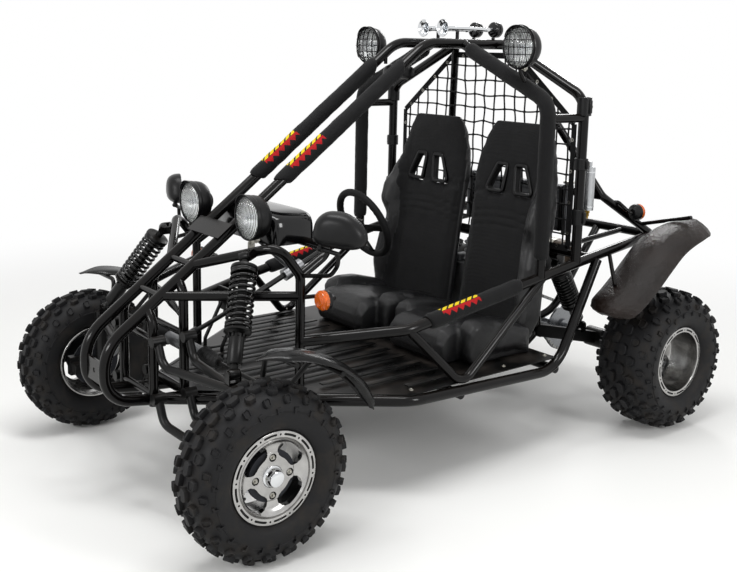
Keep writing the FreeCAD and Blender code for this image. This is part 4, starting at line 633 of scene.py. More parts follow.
def plated_bowl(name):
    """Vacuum-plated lamp bowl: bright aluminium with soft ripples."""
    material, tree, shader, place = started(name, "#ededeb", 0.3, 1.0)
    # the ripples stand for the bowl's fluting, which is too small to draw
    ripples = add(tree, "TexNoise", {"Vector": place, "Scale": per(16), "Detail": 2.0})
    add(tree, "MapRange", {"Value": ripples, "To Min": 0.15, "To Max": 0.5}, shader.inputs["Roughness"])
    add(tree, "Bump", {"Height": ripples, "Distance": 2.0 * MM}, shader.inputs["Normal"])
    return material


def silvered(name):
    """Silvered mirror glass: a smooth, bright reflection."""
    material, tree, shader, place = started(name, "#e6e8ea", 0.03, 1.0)
    wide = add(tree, "TexNoise", {"Vector": place, "Scale": per(60), "Detail": 3.0})
    add(tree, "MapRange", {"Value": wide, "To Min": 0.02, "To Max": 0.08}, shader.inputs["Roughness"])
    return material


MAKERS = {
    "gloss_black_powder_coat": painted("#060505", "#15110e", 0.14, 0.05),
    "satin_black_chassis_paint": painted("#070707", "#171412", 0.3, 0.08),
    "black_floor_enamel": painted("#050505", "#2f2b28", 0.28, 0.12, (0.46, 0.7), 0.18),
    "black_spring_enamel": painted("#040404", "#0d0c0b", 0.1, 0.02, level=0.4),
    "vulcanised_rubber": rubber,
    "machined_aluminium": turned_metal,
    "cast_aluminium": plain_metal("#8f9092", 0.42, 2.0, 0.12),
    "zinc_plated_steel": plain_metal("#a9a79f", 0.3, 1.2, 0.03),
    "ground_steel": plain_metal("#8d8f92", 0.28, 1.0, 0.03),
    "cast_iron": plain_metal("#35363a", 0.55, 2.2, 0.2),
    "heat_browned_steel": plain_metal("#4b4036", 0.4, 6.0, 0.05, 0.45),
    "brass": plain_metal("#b08d3c", 0.25, 1.5, 0.03),
    "chromed_brass": plain_metal("#dadcde", 0.05, 8.0, 0.004, 0.95),
    "brushed_aluminium": plain_metal("#b9bbbd", 0.3, 1.0, 0.04),
    "finned_aluminium": finned,
    "upholstery_vinyl": vinyl,
    "spacer_mesh_cloth": woven("#121213", 2.2, 0.1),
    "woven_nylon": woven("#0b0b0c", 1.8, 0.08),
    "printed_nylon_sleeve": woven("#0b0b0c", 1.8, 0.08, motif=True),
    "polyester_webbing": woven("#0c0c0d", 1.5, 0.05),
    "grained_polypropylene": moulded("#080808", 0.24, 4.5, 0.45, "#1a1714", level=0.25),
    "hammered_polypropylene": hammered,
    "gloss_abs": moulded("#040405", 0.1, 5.0, 0.01, "#0a0a0b", 1.5, 0.4),
    "satin_abs": moulded("#070708", 0.36, 1.2, 0.05, "#121213", level=0.25),
    "grip_foam_rubber": moulded("#0b0b0c", 0.7, 1.4, 0.25, "#141415", level=0.2),
    "epdm_rubber": moulded("#0c0c0d", 0.55, 1.8, 0.08, "#1c1b1a", level=0.25),
    "amber_polycarbonate": glassy("#ff8018", 0.06, 1.58, 0.55),
    "clear_polycarbonate": glassy("#f4f6f8", 0.03, 1.58, 1.0),
    "fluted_lamp_glass": glassy("#f8fafb", 0.05, 1.52, 1.0, flutes=7.0),
    "plated_lamp_bowl": plated_bowl,
    "silvered_glass": silvered,
    "ivory_moulding": moulded("#c9c9c4", 0.5, 1.4, 0.02, "#a8a69e"),
}

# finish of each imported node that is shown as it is
CARRIED = {
    "gloss_black_powder_coat": (
        "side_rails", "hoop_rear", "frame_spine", "hoop_front", "frame_lower", "frame_front", "frame_rear",
        "frame_uprights", "frame_dash", "brackets", "fender_stays", "nose_plates", "shock_mounts"),
    "satin_black_chassis_paint": (
        "arms_front", "swing_arm", "knuckle_left", "knuckle_right", "pedals", "steering_shaft",
        "steering_joint_shaft", "tie_rods"),
    "black_spring_enamel": ("springs", "shocks"),
    "black_floor_enamel": ("floor_pan",),
    "cast_aluminium": ("engine", "rack_housing"),
    "satin_abs": ("belt_case", "fuel_tank", "mirrors", "indicators"),
    "heat_browned_steel": ("exhaust",),
    "cast_iron": ("hub_front_left", "hub_front_right"),
    "ground_steel": ("rear_axle",),
    "brushed_aluminium": ("canister",),
    "finned_aluminium": ("radiator",),
    "epdm_rubber": ("rack_boots",),
    "gloss_abs": ("dash", "lamp_shells"),
    "clear_polycarbonate": ("lamp_lenses",),
    "amber_polycarbonate": ("indicator_lenses",),
    "chromed_brass": ("horns",),
    "woven_nylon": ("frame_pads",),
    "polyester_webbing": ("net",),
    "grained_polypropylene": ("fender_front_left", "fender_front_right", "fenders_rear"),
    "upholstery_vinyl": ("seat_backs", "seat_bases"),
    "machined_aluminium": ("rim_front_left", "rim_front_right", "rims_rear"),
    "vulcanised_rubber": ("tyre_front_left", "tyre_front_right", "tyres_rear"),
    "grip_foam_rubber": ("steering_wheel",),
    "zinc_plated_steel": ("horn_drivers",),
}


# wheels

FRONT_WHEEL = Vector((640, -930, 266.5))
REAR_WHEEL = Vector((660, 930, 279.5))
# tyres: diameter over the lugs, width, width of the rim
FRONT_TYRE = (533.0, 178.0, 140.0)
REAR_TYRE = (559.0, 254.0, 202.0)
BEAD_RADIUS = 141.0
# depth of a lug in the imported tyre, from which the carcass's size follows
PACKED_LUG = 15.0


def carcass_line(od, width, rim_width):
    """Outer line of a tyre's section from the crown to the bead, as (across, radius)."""
    half = width / 2
    bead = BEAD_RADIUS
    tall = od / 2 - PACKED_LUG - bead
    grip = rim_width / 2 - 7
    shares = (
        (0.0, 1.0), (0.25, 0.995), (0.5, 0.972), (0.68, 0.925), (0.83, 0.83), (0.925, 0.70), (0.965, 0.58),
        (0.972, 0.555), (0.992, 0.545), (0.992, 0.53), (0.978, 0.52), (0.982, 0.42), (0.965, 0.29),
        (0.915, 0.17), (0.86, 0.08),
    )
    line = [(half * a, bead + tall * b) for a, b in shares]
    return line + [(grip + 1.5, bead + 1.0), (grip, bead - 6), (grip, bead - 14)]


def spot_on(line, s):
    """Point and outward normal on a line at a length along it."""
    for (a, b), (c, d) in zip(line, line[1:]):
        length = math.hypot(c - a, d - b)
        if s <= length:
            t = s / length
            return (a + (c - a) * t, b + (d - b) * t), ((b - d) / length, (c - a) / length)
        s -= length
    return line[-1], (1.0, 0.0)


def lug(line, outline, side, middle, height, hollow, base):
    """Tread block over an outline of (along the section, along the tread) pairs, its top hollowed if asked."""
    a = sum(p[0] for p in outline) / len(outline)
    b = sum(p[1] for p in outline) / len(outline)
    levels = [(-3.0, -1.5), (1.5, -0.6), (height - 1.6, 0.9), (height, 2.2)]
    if hollow:
        levels += [(height - 0.4, 4.4), (height - hollow, 5.4)]
    points = []
    for rise, inset in levels:
        for s, t in outline:
            reach = math.hypot(s - a, t - b)
            share = 1 - min(inset / reach, 0.9)
            (x, r), (nx, nr) = spot_on(line, a + (s - a) * share)
            turn = middle + (b + (t - b) * share) / base
            r += nr * rise
            points.append((side * (x + nx * rise), r * math.cos(turn), r * math.sin(turn)))
    # its foot is open inside the carcass
    top = tuple(range(len(points) - len(outline), len(points)))
    return Form(points, net_of(len(levels), len(outline)) + [top])


def tyre(od, width, rim_width, pitches, rows, height):
    """Carcass and lugs of a tyre about the origin, its axis along X."""
    line = carcass_line(od, width, rim_width)
    outer = [(-a, r) for a, r in line[::-1]] + line[1:]
    inner = [(line[-1][0] - 4, line[-1][1] + 3), (4 - line[-1][0], line[-1][1] + 3)]
    forms = [lathe(outer + inner, ORIGIN, X, 120, closed=True)]
    for k in range(pitches):
        for outline, phase, share, hollow in rows:
            for side, half in ((1, 0.0), (-1, 0.5)):
                middle = (k + phase + half) / pitches * FULL
                forms.append(lug(line, outline, side, middle, height * share, hollow, od / 2))
    return joined(*forms)


# lugs: (outline, place in the pitch, share of the height, depth of the hollow)
FRONT_LUGS = (
    (((3, -18), (14, -23), (26, -15), (29, 12), (21, 21), (7, 19)), 0.0, 1.0, 0),
    (((35, -15), (45, -19), (59, -13), (60, 7), (50, 16), (38, 13)), 0.5, 1.0, 3.0),
    (((66, -10), (74, -15), (90, -11), (92, 6), (84, 12), (69, 9)), 0.02, 0.86, 4.0),
    (((99, -9), (106, -9), (107, 0), (118, 1), (118, 8), (101, 9)), 0.5, 0.42, 0),
)
REAR_LUGS = (
    (((4, -19), (18, -25), (33, -16), (36, 13), (26, 23), (8, 20)), 0.0, 1.0, 0),
    (((43, -16), (55, -21), (72, -14), (74, 8), (62, 18), (46, 14)), 0.5, 1.0, 3.0),
    (((82, -12), (93, -17), (110, -12), (113, 7), (102, 14), (85, 10)), 0.04, 0.9, 4.0),
    (((121, -10), (128, -12), (141, -8), (142, 6), (134, 10), (122, 8)), 0.52, 0.6, 3.0),
    (((150, -9), (157, -9), (158, 0), (168, 1), (168, 8), (152, 9)), 0.05, 0.36, 0),
)


LUG_NUT_CIRCLE = 57.5
RIM_WINDOW_CIRCLE = 84
BEAD_SLOT_CIRCLE = 129.5


def rim(half, face, dish):
    """Cast rim about the origin, facing +X: (form, finish) pairs."""
    deep = [(half - 6, 118.5), (face + 22, dish + 1), (face + 13, 106), (face + 6, 92), (face + 5, 74),
            (face + 8, 70), (face + 8, 30)]
    behind = [(face - 6, 30), (face - 6, 78), (face - 8, 100), (face, dish + 4)]
    profile = [
        (-half, 133), (-half - 0.5, 137), (1.5 - half, 139.4), (4.5 - half, 138), (7 - half, 130),
        (11 - half, 126.8), (-half * 0.45, 126), (-half * 0.36, 119.8), (half * 0.3, 119.8), (half * 0.4, 126),
        (half - 11, 126.8), (half - 7, 130), (half - 4.5, 138), (half - 2.5, 139.6), (half - 0.4, 139.2),
        (half, 138.4), (half, 121), (half - 1.2, 119.8),
    ]
    if face > 0:
        rest = deep + behind + [(face - 4, 116), (-half * 0.3, 116), (-half * 0.4, 122), (8 - half, 123)]
    else:
        front = [(half - 6, 118.5), (half * 0.5, 115.4), (face + 30, 113)]
        rest = front + deep[2:] + behind[:3]
        rest += [(face - 10, 110), (face - 20, 116), (-half * 0.5, 122), (8 - half, 123)]
    body = lathe(profile + rest, ORIGIN, X, 144, closed=True)
    tools, dark, nuts = [], [], []
    for k in range(4):
        turn = FULL * (k + 0.5) / 4
        window = slot_hole(RIM_WINDOW_CIRCLE, 24, turn, math.radians(16), 10)
        tools.append(prism(window, face - 40, face + 40, FLAT))
        turn = FULL * k / 4
        spot = (LUG_NUT_CIRCLE * math.cos(turn), LUG_NUT_CIRCLE * math.sin(turn))
        tools.append(prism(circle(12, 28, spot), face - 2, face + 20, FLAT))
        seat = Vector((face - 3, *spot))
        nuts.append(lathe([(0, 0), (0, 9.6), (9, 9.6), (11.5, 7.2), (11.5, 0)], seat, X, 6))
        nuts.append(lathe([(11, 4.4), (16, 4.4), (17, 3), (17, 0)], seat, X, 16))
    for k in range(12):
        turn = FULL * (k + 0.25) / 12
        # the second row puts thin black plates at the bottom of the bead slots: painted shade of the hollow behind them
        for low, high, form in ((half - 5, half + 5, tools), (half - 5.2, half - 4.2, dark)):
            form.append(prism(slot_hole(BEAD_SLOT_CIRCLE, 3.4, turn, math.radians(8.2), 5), low, high, FLAT))
            next_hole = turn + FULL / 24
            middle = (BEAD_SLOT_CIRCLE * math.cos(next_hole), BEAD_SLOT_CIRCLE * math.sin(next_hole))
            form.append(prism(circle(3.2, 12, middle), low, high, FLAT))
    cap = lathe([(face + 6, 0), (face + 6, 33), (face + 10, 33.5), (face + 12, 32), (face + 14, 29),
                 (face + 27, 25.5), (face + 32, 23), (face + 34, 19), (face + 34.6, 0)], ORIGIN, X, 48)
    # the valve stem
    turn = math.radians(200)
    foot = Vector((half - 22, 112 * math.cos(turn), 112 * math.sin(turn)))
    stem = bar(foot, foot + Vector((20, -7 * math.cos(turn), -7 * math.sin(turn))), 4.5, 12, 1)
    # the black plates in the bead slots are painted shade
    return [(cut(body, *tools), "machined_aluminium"), (joined(*dark), "satin_black_chassis_paint"),
            (joined(*nuts), "zinc_plated_steel"), (cap, "chromed_brass"), (stem, "epdm_rubber")]


class BUGGY_OT_tyres(bpy.types.Operator):
    """Builds the four knobbly tyres"""
    bl_idname = "buggy.tyres"
    bl_label = "Tyres"

    def execute(self, context):
        sizes = context.scene.buggy_sizes
        height = sizes.lug_height / MM
        front = tyre(*FRONT_TYRE, sizes.front_pitches, FRONT_LUGS, height)
        rear = tyre(*REAR_TYRE, sizes.rear_pitches, REAR_LUGS, height)
        for side, word in SIDES:
            spot = (side * FRONT_WHEEL.x, FRONT_WHEEL.y, FRONT_WHEEL.z)
            piece("tread_front_" + word, [(front.at(*spot), "vulcanised_rubber")], "wheel_front_" + word[0],
                  "tyre_rubber", ["tyre_front_" + word], spot)
            spot = (side * REAR_WHEEL.x, REAR_WHEEL.y, REAR_WHEEL.z)
            piece("tread_rear_" + word, [(rear.at(*spot), "vulcanised_rubber")], "wheels_rear", "tyre_rubber",
                  ["tyres_rear"], spot)
        return {"FINISHED"}


class BUGGY_OT_rims(bpy.types.Operator):
    """Builds the four cast rims with their caps and nuts"""
    bl_idname = "buggy.rims"
    bl_label = "Rims"

    def execute(self, context):
        rows = (("front", rim(70.0, 48.0, 112.0), FRONT_WHEEL, "wheel_front_{}", "rim_front_{}"),
                ("rear", rim(101.0, -27.0, 112.0), REAR_WHEEL, "wheels_rear", "rims_rear"))
        for kind, forms, spot, body, node in rows:
            forms = [(form.at(*spot), skin) for form, skin in forms]
            pair("wheel_" + kind + "_{}", forms, body, "rim_metal", [node], spot, sharp=28, bevel=0.7)
        return {"FINISHED"}


# seats

SEAT_X = 242
SEAT_HALF = 224
BACK_HEIGHT = 850
BOLSTER_DEPTH = 94
# sections of a seat back: (share of the half width, place to the rear, share of the bolster's depth)
BACK_RING = (
    (0.0, -3, 0), (0.3, -2.5, 0), (0.55, -2, 0), (0.64, -1, 0.05), (0.71, 0, 0.42), (0.78, 0, 0.82),
    (0.86, 0, 1.0), (0.94, 0, 0.92), (0.99, 0, 0.62), (1.0, 6, 0.2), (1.0, 28, 0), (0.98, 38, 0), (0.9, 44, 0),
    (0.5, 46, 0), (0.0, 46, 0), (-0.5, 46, 0), (-0.9, 44, 0), (-0.975, 38, 0), (-1.0, 28, 0), (-1.0, 14, 0),
    (-0.985, 5, 0), (-0.95, 0, 0), (-0.8, -2, 0), (-0.55, -3, 0), (-0.28, -3, 0),
)
# shares of the half width, of the bolster and of the panel's edge, by the share of the height
OUTER_WIDTHS = (
    (0.0, 0.88), (0.12, 0.98), (0.3, 0.97), (0.42, 0.91), (0.53, 1.0), (0.62, 0.99), (0.74, 0.95),
    (0.82, 0.9), (0.9, 0.8), (0.96, 0.71), (1.0, 0.58),
)
INNER_WIDTHS = (
    (0.0, 0.97), (0.25, 0.97), (0.45, 0.96), (0.62, 0.97), (0.74, 0.98), (0.82, 0.93), (0.9, 0.82),
    (0.96, 0.71), (1.0, 0.58),
)
BACK_BOLSTERS = (
    (0.0, 0.35), (0.07, 0.78), (0.2, 1.0), (0.33, 0.9), (0.43, 0.72), (0.53, 1.0), (0.6, 0.92), (0.69, 0.5),
    (0.77, 0.1), (0.85, 0.0), (1.0, 0.0),
)
PANEL_EDGE = ((0.0, 0.76), (0.3, 0.68), (0.55, 0.66), (0.66, 0.76), (0.74, 0.93), (1.0, 0.95))
PANEL_INNER = 0.95
STITCHES = (0.485, 0.52, 0.555)
# a harness hole, from the seat's middle outwards and up from the holes' lower edge
HOLE = ((38, 0), (120, 0), (74, 98), (26, 98))
HOLES_Z = 562
# middle cushion and two thigh bolsters: (low x, high x, front y, top z, rear z)
BASE_ROLLS = ((86, 398, -33, 472, 424), (12, 96, 60, 494, 446), (388, 472, 60, 494, 446))


def back_halves(v):
    """Half widths of a seat back, inboard and outboard, at a share of its height."""
    return value_at(INNER_WIDTHS, v) * SEAT_HALF, value_at(OUTER_WIDTHS, v) * SEAT_HALF


def seat_back():
    """Padded bucket back of the left seat, before it is swelled, upright on its foot."""
    rows = 44
    points = []
    for i in range(rows):
        v = i / (rows - 1)
        inner, outer = back_halves(v)
        deep = value_at(BACK_BOLSTERS, v) * BOLSTER_DEPTH
        thin = value_at(((0, 0.8), (0.08, 1), (0.93, 1), (1.0, 0.62)), v)
        for share, flat, bolster in BACK_RING:
            half = outer if share > 0 else inner
            points.append((share * half, flat * thin - deep * bolster, v * (BACK_HEIGHT - 12) + 6))
    return Form(points, net_of(rows, len(BACK_RING), False, True))


def grooved(form, depth, width, distance):
    """A form pressed in along a seam, by a rule that gives each point's distance from it."""
    points = []
    for p in form.points:
        gap = distance(p)
        push = depth * math.exp(-(gap / width) ** 2) if gap is not None else 0.0
        points.append(p + Vector((0, push, 0)))
    return Form(points, form.faces, form.route)


def back_seams(p):
    """Distance from a point of a seat back to the nearest of its seams, or None."""
    if p.y > 14:
        return None
    v = p.z / BACK_HEIGHT
    inner, outer = back_halves(v)
    edge = value_at(PANEL_EDGE, v) * outer
    gap = min(abs(p.x - edge), abs(p.x + PANEL_INNER * inner))
    if -PANEL_INNER * inner < p.x < edge:
        for share in STITCHES:
            line = share * BACK_HEIGHT + 10 - 14 * (p.x / edge) ** 2
            gap = min(gap, abs(p.z - line) * 1.6)
    return gap


def on_panel(p):
    """Whether a point of a seat back lies on its cloth panel."""
    v = p.z / BACK_HEIGHT
    inner, outer = back_halves(v)
    return p.y < 14 and -PANEL_INNER * inner < p.x < value_at(PANEL_EDGE, v) * outer


def harness_holes():
    """Cutters of the two harness holes of a seat back, and their moulded frames."""
    upright = Matrix(((1, 0, 0, 0), (0, 0, 1, 0), (0, 1, 0, HOLES_Z), (0, 0, 0, 1)))
    front, rear = -11.0, 15.0
    holes, frames = [], []
    for side in (1, -1):
        corners = [Vector((side * a, b, 0)) for a, b in HOLE]
        loop = rounded(corners[3:] + corners + corners[:1], 14, 4)[1:-2][::-side]
        middle = sum(loop, Vector()) / len(loop)
        wide = [middle + (p - middle) * 1.2 for p in loop]
        holes.append(prism([(p.x, p.y) for p in wide], -90, 90, upright))
        for depth in (front, rear):
            edge = sweep([middle + (p - middle) * 1.14 for p in loop], 8.0, 10, ring=True)
            frames.append(edge.shaped(lambda p: Vector((p.x, p.y, depth + p.z * 0.6))).moved(upright))
        band = [middle + (p - middle) * share + Z * depth
                for share, depth in ((1.04, front), (1.04, rear), (1.12, rear), (1.12, front)) for p in loop]
        frames.append(Form(band, net_of(4, len(loop), True)).moved(upright))
    # the moulded shell is open behind the two holes, so that they are seen through at a slant
    opening = prism([(-150, 114), (140, 114), (170, -16), (-176, -16)], 14, 90, upright)
    return holes, opening, frames


class BUGGY_OT_seats(bpy.types.Operator):
    """Builds the padded seat backs and base cushions"""
    bl_idname = "buggy.seats"
    bl_label = "Seats"

    def execute(self, context):
        place = Matrix.Translation((SEAT_X, 388, 375)) @ Matrix.Rotation(math.radians(-8), 4, "X")
        holes, opening, frames = harness_holes()
        body = swelled(cut(cut(seat_back(), *holes), opening), 8.0, 4.0, 7.0)
        panel, skin = grooved(body, 5.0, 5.0, back_seams).where(on_panel)
        forms = [(panel.moved(place), "spacer_mesh_cloth"), (skin.moved(place), "upholstery_vinyl"),
                 (joined(*frames).moved(place), "satin_abs")]
        backs = pair("seat_back_{}", forms, "chassis", "seat_cover", ["seat_backs"], (SEAT_X, 420, 375),
                     sharp=60, divide=1)
        cushion = swelled(base_rolls(), 6.5, 4.0, 8.0)
        bases = pair("seat_base_{}", [(cushion, "upholstery_vinyl")], "chassis", "seat_cover", ["seat_bases"],
                     (SEAT_X, 180, 340), sharp=60)
        return {"FINISHED"}


def base_rolls():
    """Middle cushion and two thigh bolsters of the left base, overlapping."""
    rolls = []
    for low, high, front, top, rear in BASE_ROLLS:
        rows = 12
        points = []
        for i in range(rows):
            u = i / (rows - 1) * 2 - 1
            x = (low + high) / 2 + (high - low) / 2 * u
            ease = 1 - (1 - abs(u) ** 5) ** 0.2
            nose = front + 14 * ease
            peak = top - 20 * ease
            side = (
                (nose + 34, 343), (nose + 9, 352), (nose, 380), (nose, 415), (nose + 8, peak - 26),
                (nose + 28, peak - 6), (nose + 60, peak), (nose + 150, peak - 3), (376, rear - 12 * ease), (382, 343),
            )
            points.extend((x, y, z) for y, z in side)
        rolls.append(Form(points, net_of(rows, len(side), False, True)))
    return joined(*rolls)


# springs, lamps and small parts

def oriented(centre, axis, hint=Z):
    """Matrix that puts a form's Z on an axis at a centre, its Y near a hint."""
    axis = Vector(axis).normalized()
    side = Vector(hint).cross(axis).normalized()
    matrix = Matrix((side, axis.cross(side), axis)).transposed().to_4x4()
    return Matrix.Translation(centre) @ matrix


def bolt(spot, axis, size=12.0, washer=True):
    """Hexagon head on a washer, standing on a spot, with the end of its thread showing."""
    axis = Vector(axis).normalized()
    head = [(0.0, 0), (0.0, size * 0.78), (size * 0.5, size * 0.78), (size * 0.58, size * 0.6),
            (size * 0.58, 0)]
    forms = [lathe(head, spot, axis, 6)]
    if washer:
        forms.append(lathe([(-0.2, 0), (-0.2, size * 1.05), (1.4, size * 1.05), (1.4, 0)], spot, axis, 20))
    forms.append(bar(Vector(spot), Vector(spot) + axis * size * 0.8, size * 0.36, 10, 1))
    return joined(*forms)


def helix(start, stop, radius, turns, wire):
    """Closed-ended coil spring between two points."""
    start, stop = Vector(start), Vector(stop)
    along = stop - start
    side, other = across(along)
    count = int(turns * 26)
    path = []
    for k in range(count + 1):
        t = k / count
        # the end turns lie close together
        if 0.09 < t < 0.91:
            rise = 0.022 + (t - 0.09) / 0.82 * 0.956
        else:
            rise = value_at(((0, 0), (0.09, 0.022), (0.91, 0.978), (1, 1)), t)
        turn = t * turns * FULL
        path.append(start + along * rise + (side * math.cos(turn) + other * math.sin(turn)) * radius)
    return sweep(path, wire, 10)


def damper(top, low, top_axis, low_axis):
    """Coil-over damper: (form, finish) pairs."""
    top, low = Vector(top), Vector(low)
    run = (low - top).normalized()
    length = (low - top).length
    reach = length * 0.66
    foot = length - 30 - reach

    def at(distance):
        """Point on the damper's line."""
        return top + run * distance

    spring = helix(at(50), at(reach - 15), 37.5, 12.0, 5.3)
    parts = [
        lathe([(0, 0), (0, 20), (3, 24), (foot - 4, 24), (foot, 21), (foot, 0)], at(reach), run, 32),
        lathe([(0, 0), (0, 30), (3, 42), (9, 43.5), (13, 43.5), (14, 38), (14, 0)], at(33), run, 40),
        lathe([(0, 0), (0, 38), (1.5, 43.5), (8, 43.5), (10, 34), (16, 27), (16, 0)], at(reach - 9), run, 40),
    ]
    bushes = []
    for spot, axis in ((top, Vector(top_axis).normalized()), (low, Vector(low_axis).normalized())):
        parts.append(lathe([(-15.7, 9), (-15.7, 16), (-14, 17), (14, 17), (15.7, 16), (15.7, 9)], spot, axis,
                           28, closed=True))
        bushes.append(lathe([(-15.9, 6.4), (-15.9, 9.4), (15.9, 9.4), (15.9, 6.4)], spot, axis, 24,
                            closed=True))
    parts.append(bar(at(14), at(34), 12, 20, 1))
    parts.append(bar(at(length - 32), at(length - 13), 13, 20, 1))
    parts.append(lathe([(0, 0), (0, 15), (length * 0.3, 15), (length * 0.3 + 3, 19), (reach - 36, 19),
                        (reach - 36, 0)], at(40), run, 32))
    # the notches of the preload ring
    side, other = across(run)
    lugs = []
    for k in range(10):
        turn = FULL * k / 10
        out = side * math.cos(turn) + other * math.sin(turn)
        lugs.append(block((-3, -3, -5), (3, 3, 5), 1).moved(oriented(at(reach + 12) + out * 27, run, out)))
    return [(spring, "black_spring_enamel"), (joined(*parts), "satin_black_chassis_paint"),
            (joined(*lugs), "satin_black_chassis_paint"), (joined(*bushes), "epdm_rubber")]


class BUGGY_OT_dampers(bpy.types.Operator):
    """Builds the four coil-over dampers"""
    bl_idname = "buggy.dampers"
    bl_label = "Coil-over dampers"

    def execute(self, context):
        along = spine_at(-851) - Vector((352, -690, 850))
        rows = (("front", (289, -775, 817), (466, -926, 505), along, Y),
                ("rear", (350, 642, 635), (350, 812, 355.5), X, X))
        for name, top, low, top_axis, low_axis in rows:
            pair("damper_" + name + "_{}", damper(top, low, top_axis, low_axis), "chassis", "spring_paint",
                 ["springs", "shocks"], top, sharp=40)
        return {"FINISHED"}


LAMP_RADIUS = 76
GUARD_RADIUS = 78


def lamp_guard():
    """Domed grille of a lamp facing -Y: five wires each way and a ring."""
    wires = []
    for k in range(-2, 3):
        b = k * 26
        half = math.sqrt(GUARD_RADIUS ** 2 - b ** 2)
        for upright in (False, True):
            path = []
            for t in range(13):
                a = -half + 2 * half * t / 12
                square = a * a + b * b
                depth = -26 * (1 - square / GUARD_RADIUS ** 2) ** 0.5 if square < GUARD_RADIUS ** 2 else 0
                path.append((b, depth - 1, a) if upright else (a, depth, b))
            path[0] = (path[0][0], 4, path[0][2])
            path[-1] = (path[-1][0], 4, path[-1][2])
            wires.append(sweep(path, 1.7, 8))
    ring = [(x, 3, z) for x, z in circle(GUARD_RADIUS, 48)]
    return joined(*wires, sweep(ring, 2.2, 8, ring=True))


def lamp_forms(guard):
    """Round lamp facing -Y, its rim's middle at the origin: (form, finish) pairs."""
    shell = lathe([
        (-4, 70.6), (-6, 72), (-6, 74.4), (-3, 75.6), (3, LAMP_RADIUS), (9, 75.6), (11, 74), (26, 73.5),
        (40, 70.5), (52, 63), (58, 52), (61, 36), (62, 31), (74, 30), (77.6, 27), (77.6, 0), (70, 0), (66, 27),
        (56, 30), (52, 50), (38, 66), (20, 70.4), (0, 70.6)], ORIGIN, Y, 64)
    peak = []
    for k in range(-10, 11):
        turn = math.radians(90 + k * 6.2)
        reach = 13 * math.cos(math.radians(k * 8.6)) ** 0.6
        out = Vector((math.cos(turn), 0, math.sin(turn)))
        peak += [out * (LAMP_RADIUS + 0.2) + Y * 2, out * (LAMP_RADIUS + 0.2 + reach * 0.22) - Y * (4 + reach),
                 out * (LAMP_RADIUS - 1.2 + reach * 0.22) - Y * (4 + reach), out * (LAMP_RADIUS - 1.4) + Y * 2]
    hood = Form(peak, net_of(21, 4, False, True))
    bowl = lathe([(2, 70), (10, 66.5), (20, 60), (30, 51), (39, 40), (46, 28), (50, 17), (50.5, 13)],
                 ORIGIN, Y, 64)
    bulb = joined(bar((0, 50, 0), (0, 20, 0), 6.5, 20, 3),
                  lathe([(50, 13.4), (46, 13.4), (44, 11), (44, 0)], ORIGIN, Y, 24))
    bridge = joined(bar((0, 18, 0), (0, 12, 0), 11, 24, 2), bar((-69, 14, 0), (69, 14, 0), 1.6, 8))
    lens = lathe([
        (-17, 0), (-16.4, 18), (-14.6, 34), (-11.4, 48), (-7, 60), (-2.5, 69.4), (0, 70.2), (1.5, 69.4),
        (-4.4, 59), (-8.8, 47), (-12, 33.4), (-13.8, 18), (-14.4, 0)], ORIGIN, Y, 64)
    foot = Vector((0, 26, -LAMP_RADIUS))
    mount = joined(block((-11, -16, -4), (11, 16, 5), 2).at(*foot),
                   bolt(foot + X * 11, X, 9), bolt(foot - X * 11, -X, 9))
    forms = [(joined(shell, hood), "satin_abs"), (bowl, "plated_lamp_bowl"), (bulb, "chromed_brass"),
             (bridge, "chromed_brass"), (lens, "fluted_lamp_glass")]
    if guard:
        forms.append((lamp_guard(), "gloss_black_powder_coat"))
    return forms + [(mount, "zinc_plated_steel")]


def indicator_forms():
    """Round indicator facing along Z, its lens's foot at the origin: (form, finish) pairs."""
    lens = lathe([
        (0.4, 33), (13, 33), (16, 30), (19, 29), (21, 25), (23.4, 23.5), (25, 18), (27, 16), (27.6, 0), (24, 0),
        (22, 15), (15, 26), (4, 29.6), (0.4, 29.6)], ORIGIN, Y, 18)
    inner = lathe([(2, 28), (3, 12), (12, 7), (14, 0)], ORIGIN, Y, 24)
    shell = lathe([(1, 29), (1, 32.6), (-2, 33.4), (-6, 33), (-14, 31), (-20, 22), (-25.8, 14), (-25.8, 0)],
                  ORIGIN, Y, 48)
    return [(lens, "amber_polycarbonate"), (inner, "plated_lamp_bowl"), (shell, "satin_abs")]


def placed(forms, matrix):
    """The (form, finish) pairs through a matrix."""
    return [(form.moved(matrix), skin) for form, skin in forms]


class BUGGY_OT_lamps(bpy.types.Operator):
    """Builds the headlights, the guarded roof lamps and the indicators"""
    bl_idname = "buggy.lamps"
    bl_label = "Lamps"

    def execute(self, context):
        for name, spot, guard in (("headlight", (197, -713, 922), False), ("roof_lamp", (440, 268, 1492), True)):
            pair(name + "_{}", placed(lamp_forms(guard), Matrix.Translation(spot)), "chassis", "shell_plastic",
                 ["lamp_shells", "lamp_lenses"], spot, sharp=35)
        for name, spot, half_turn in (("front", (420, -560, 672), math.pi), ("rear", (526, 905, 850), 0.0)):
            place = Matrix.Translation(spot) @ Matrix.Rotation(half_turn, 4, "Z")
            pair("indicator_" + name + "_{}", placed(indicator_forms(), place), "chassis", "amber",
                 ["indicators", "indicator_lenses"], spot, sharp=20)
        return {"FINISHED"}


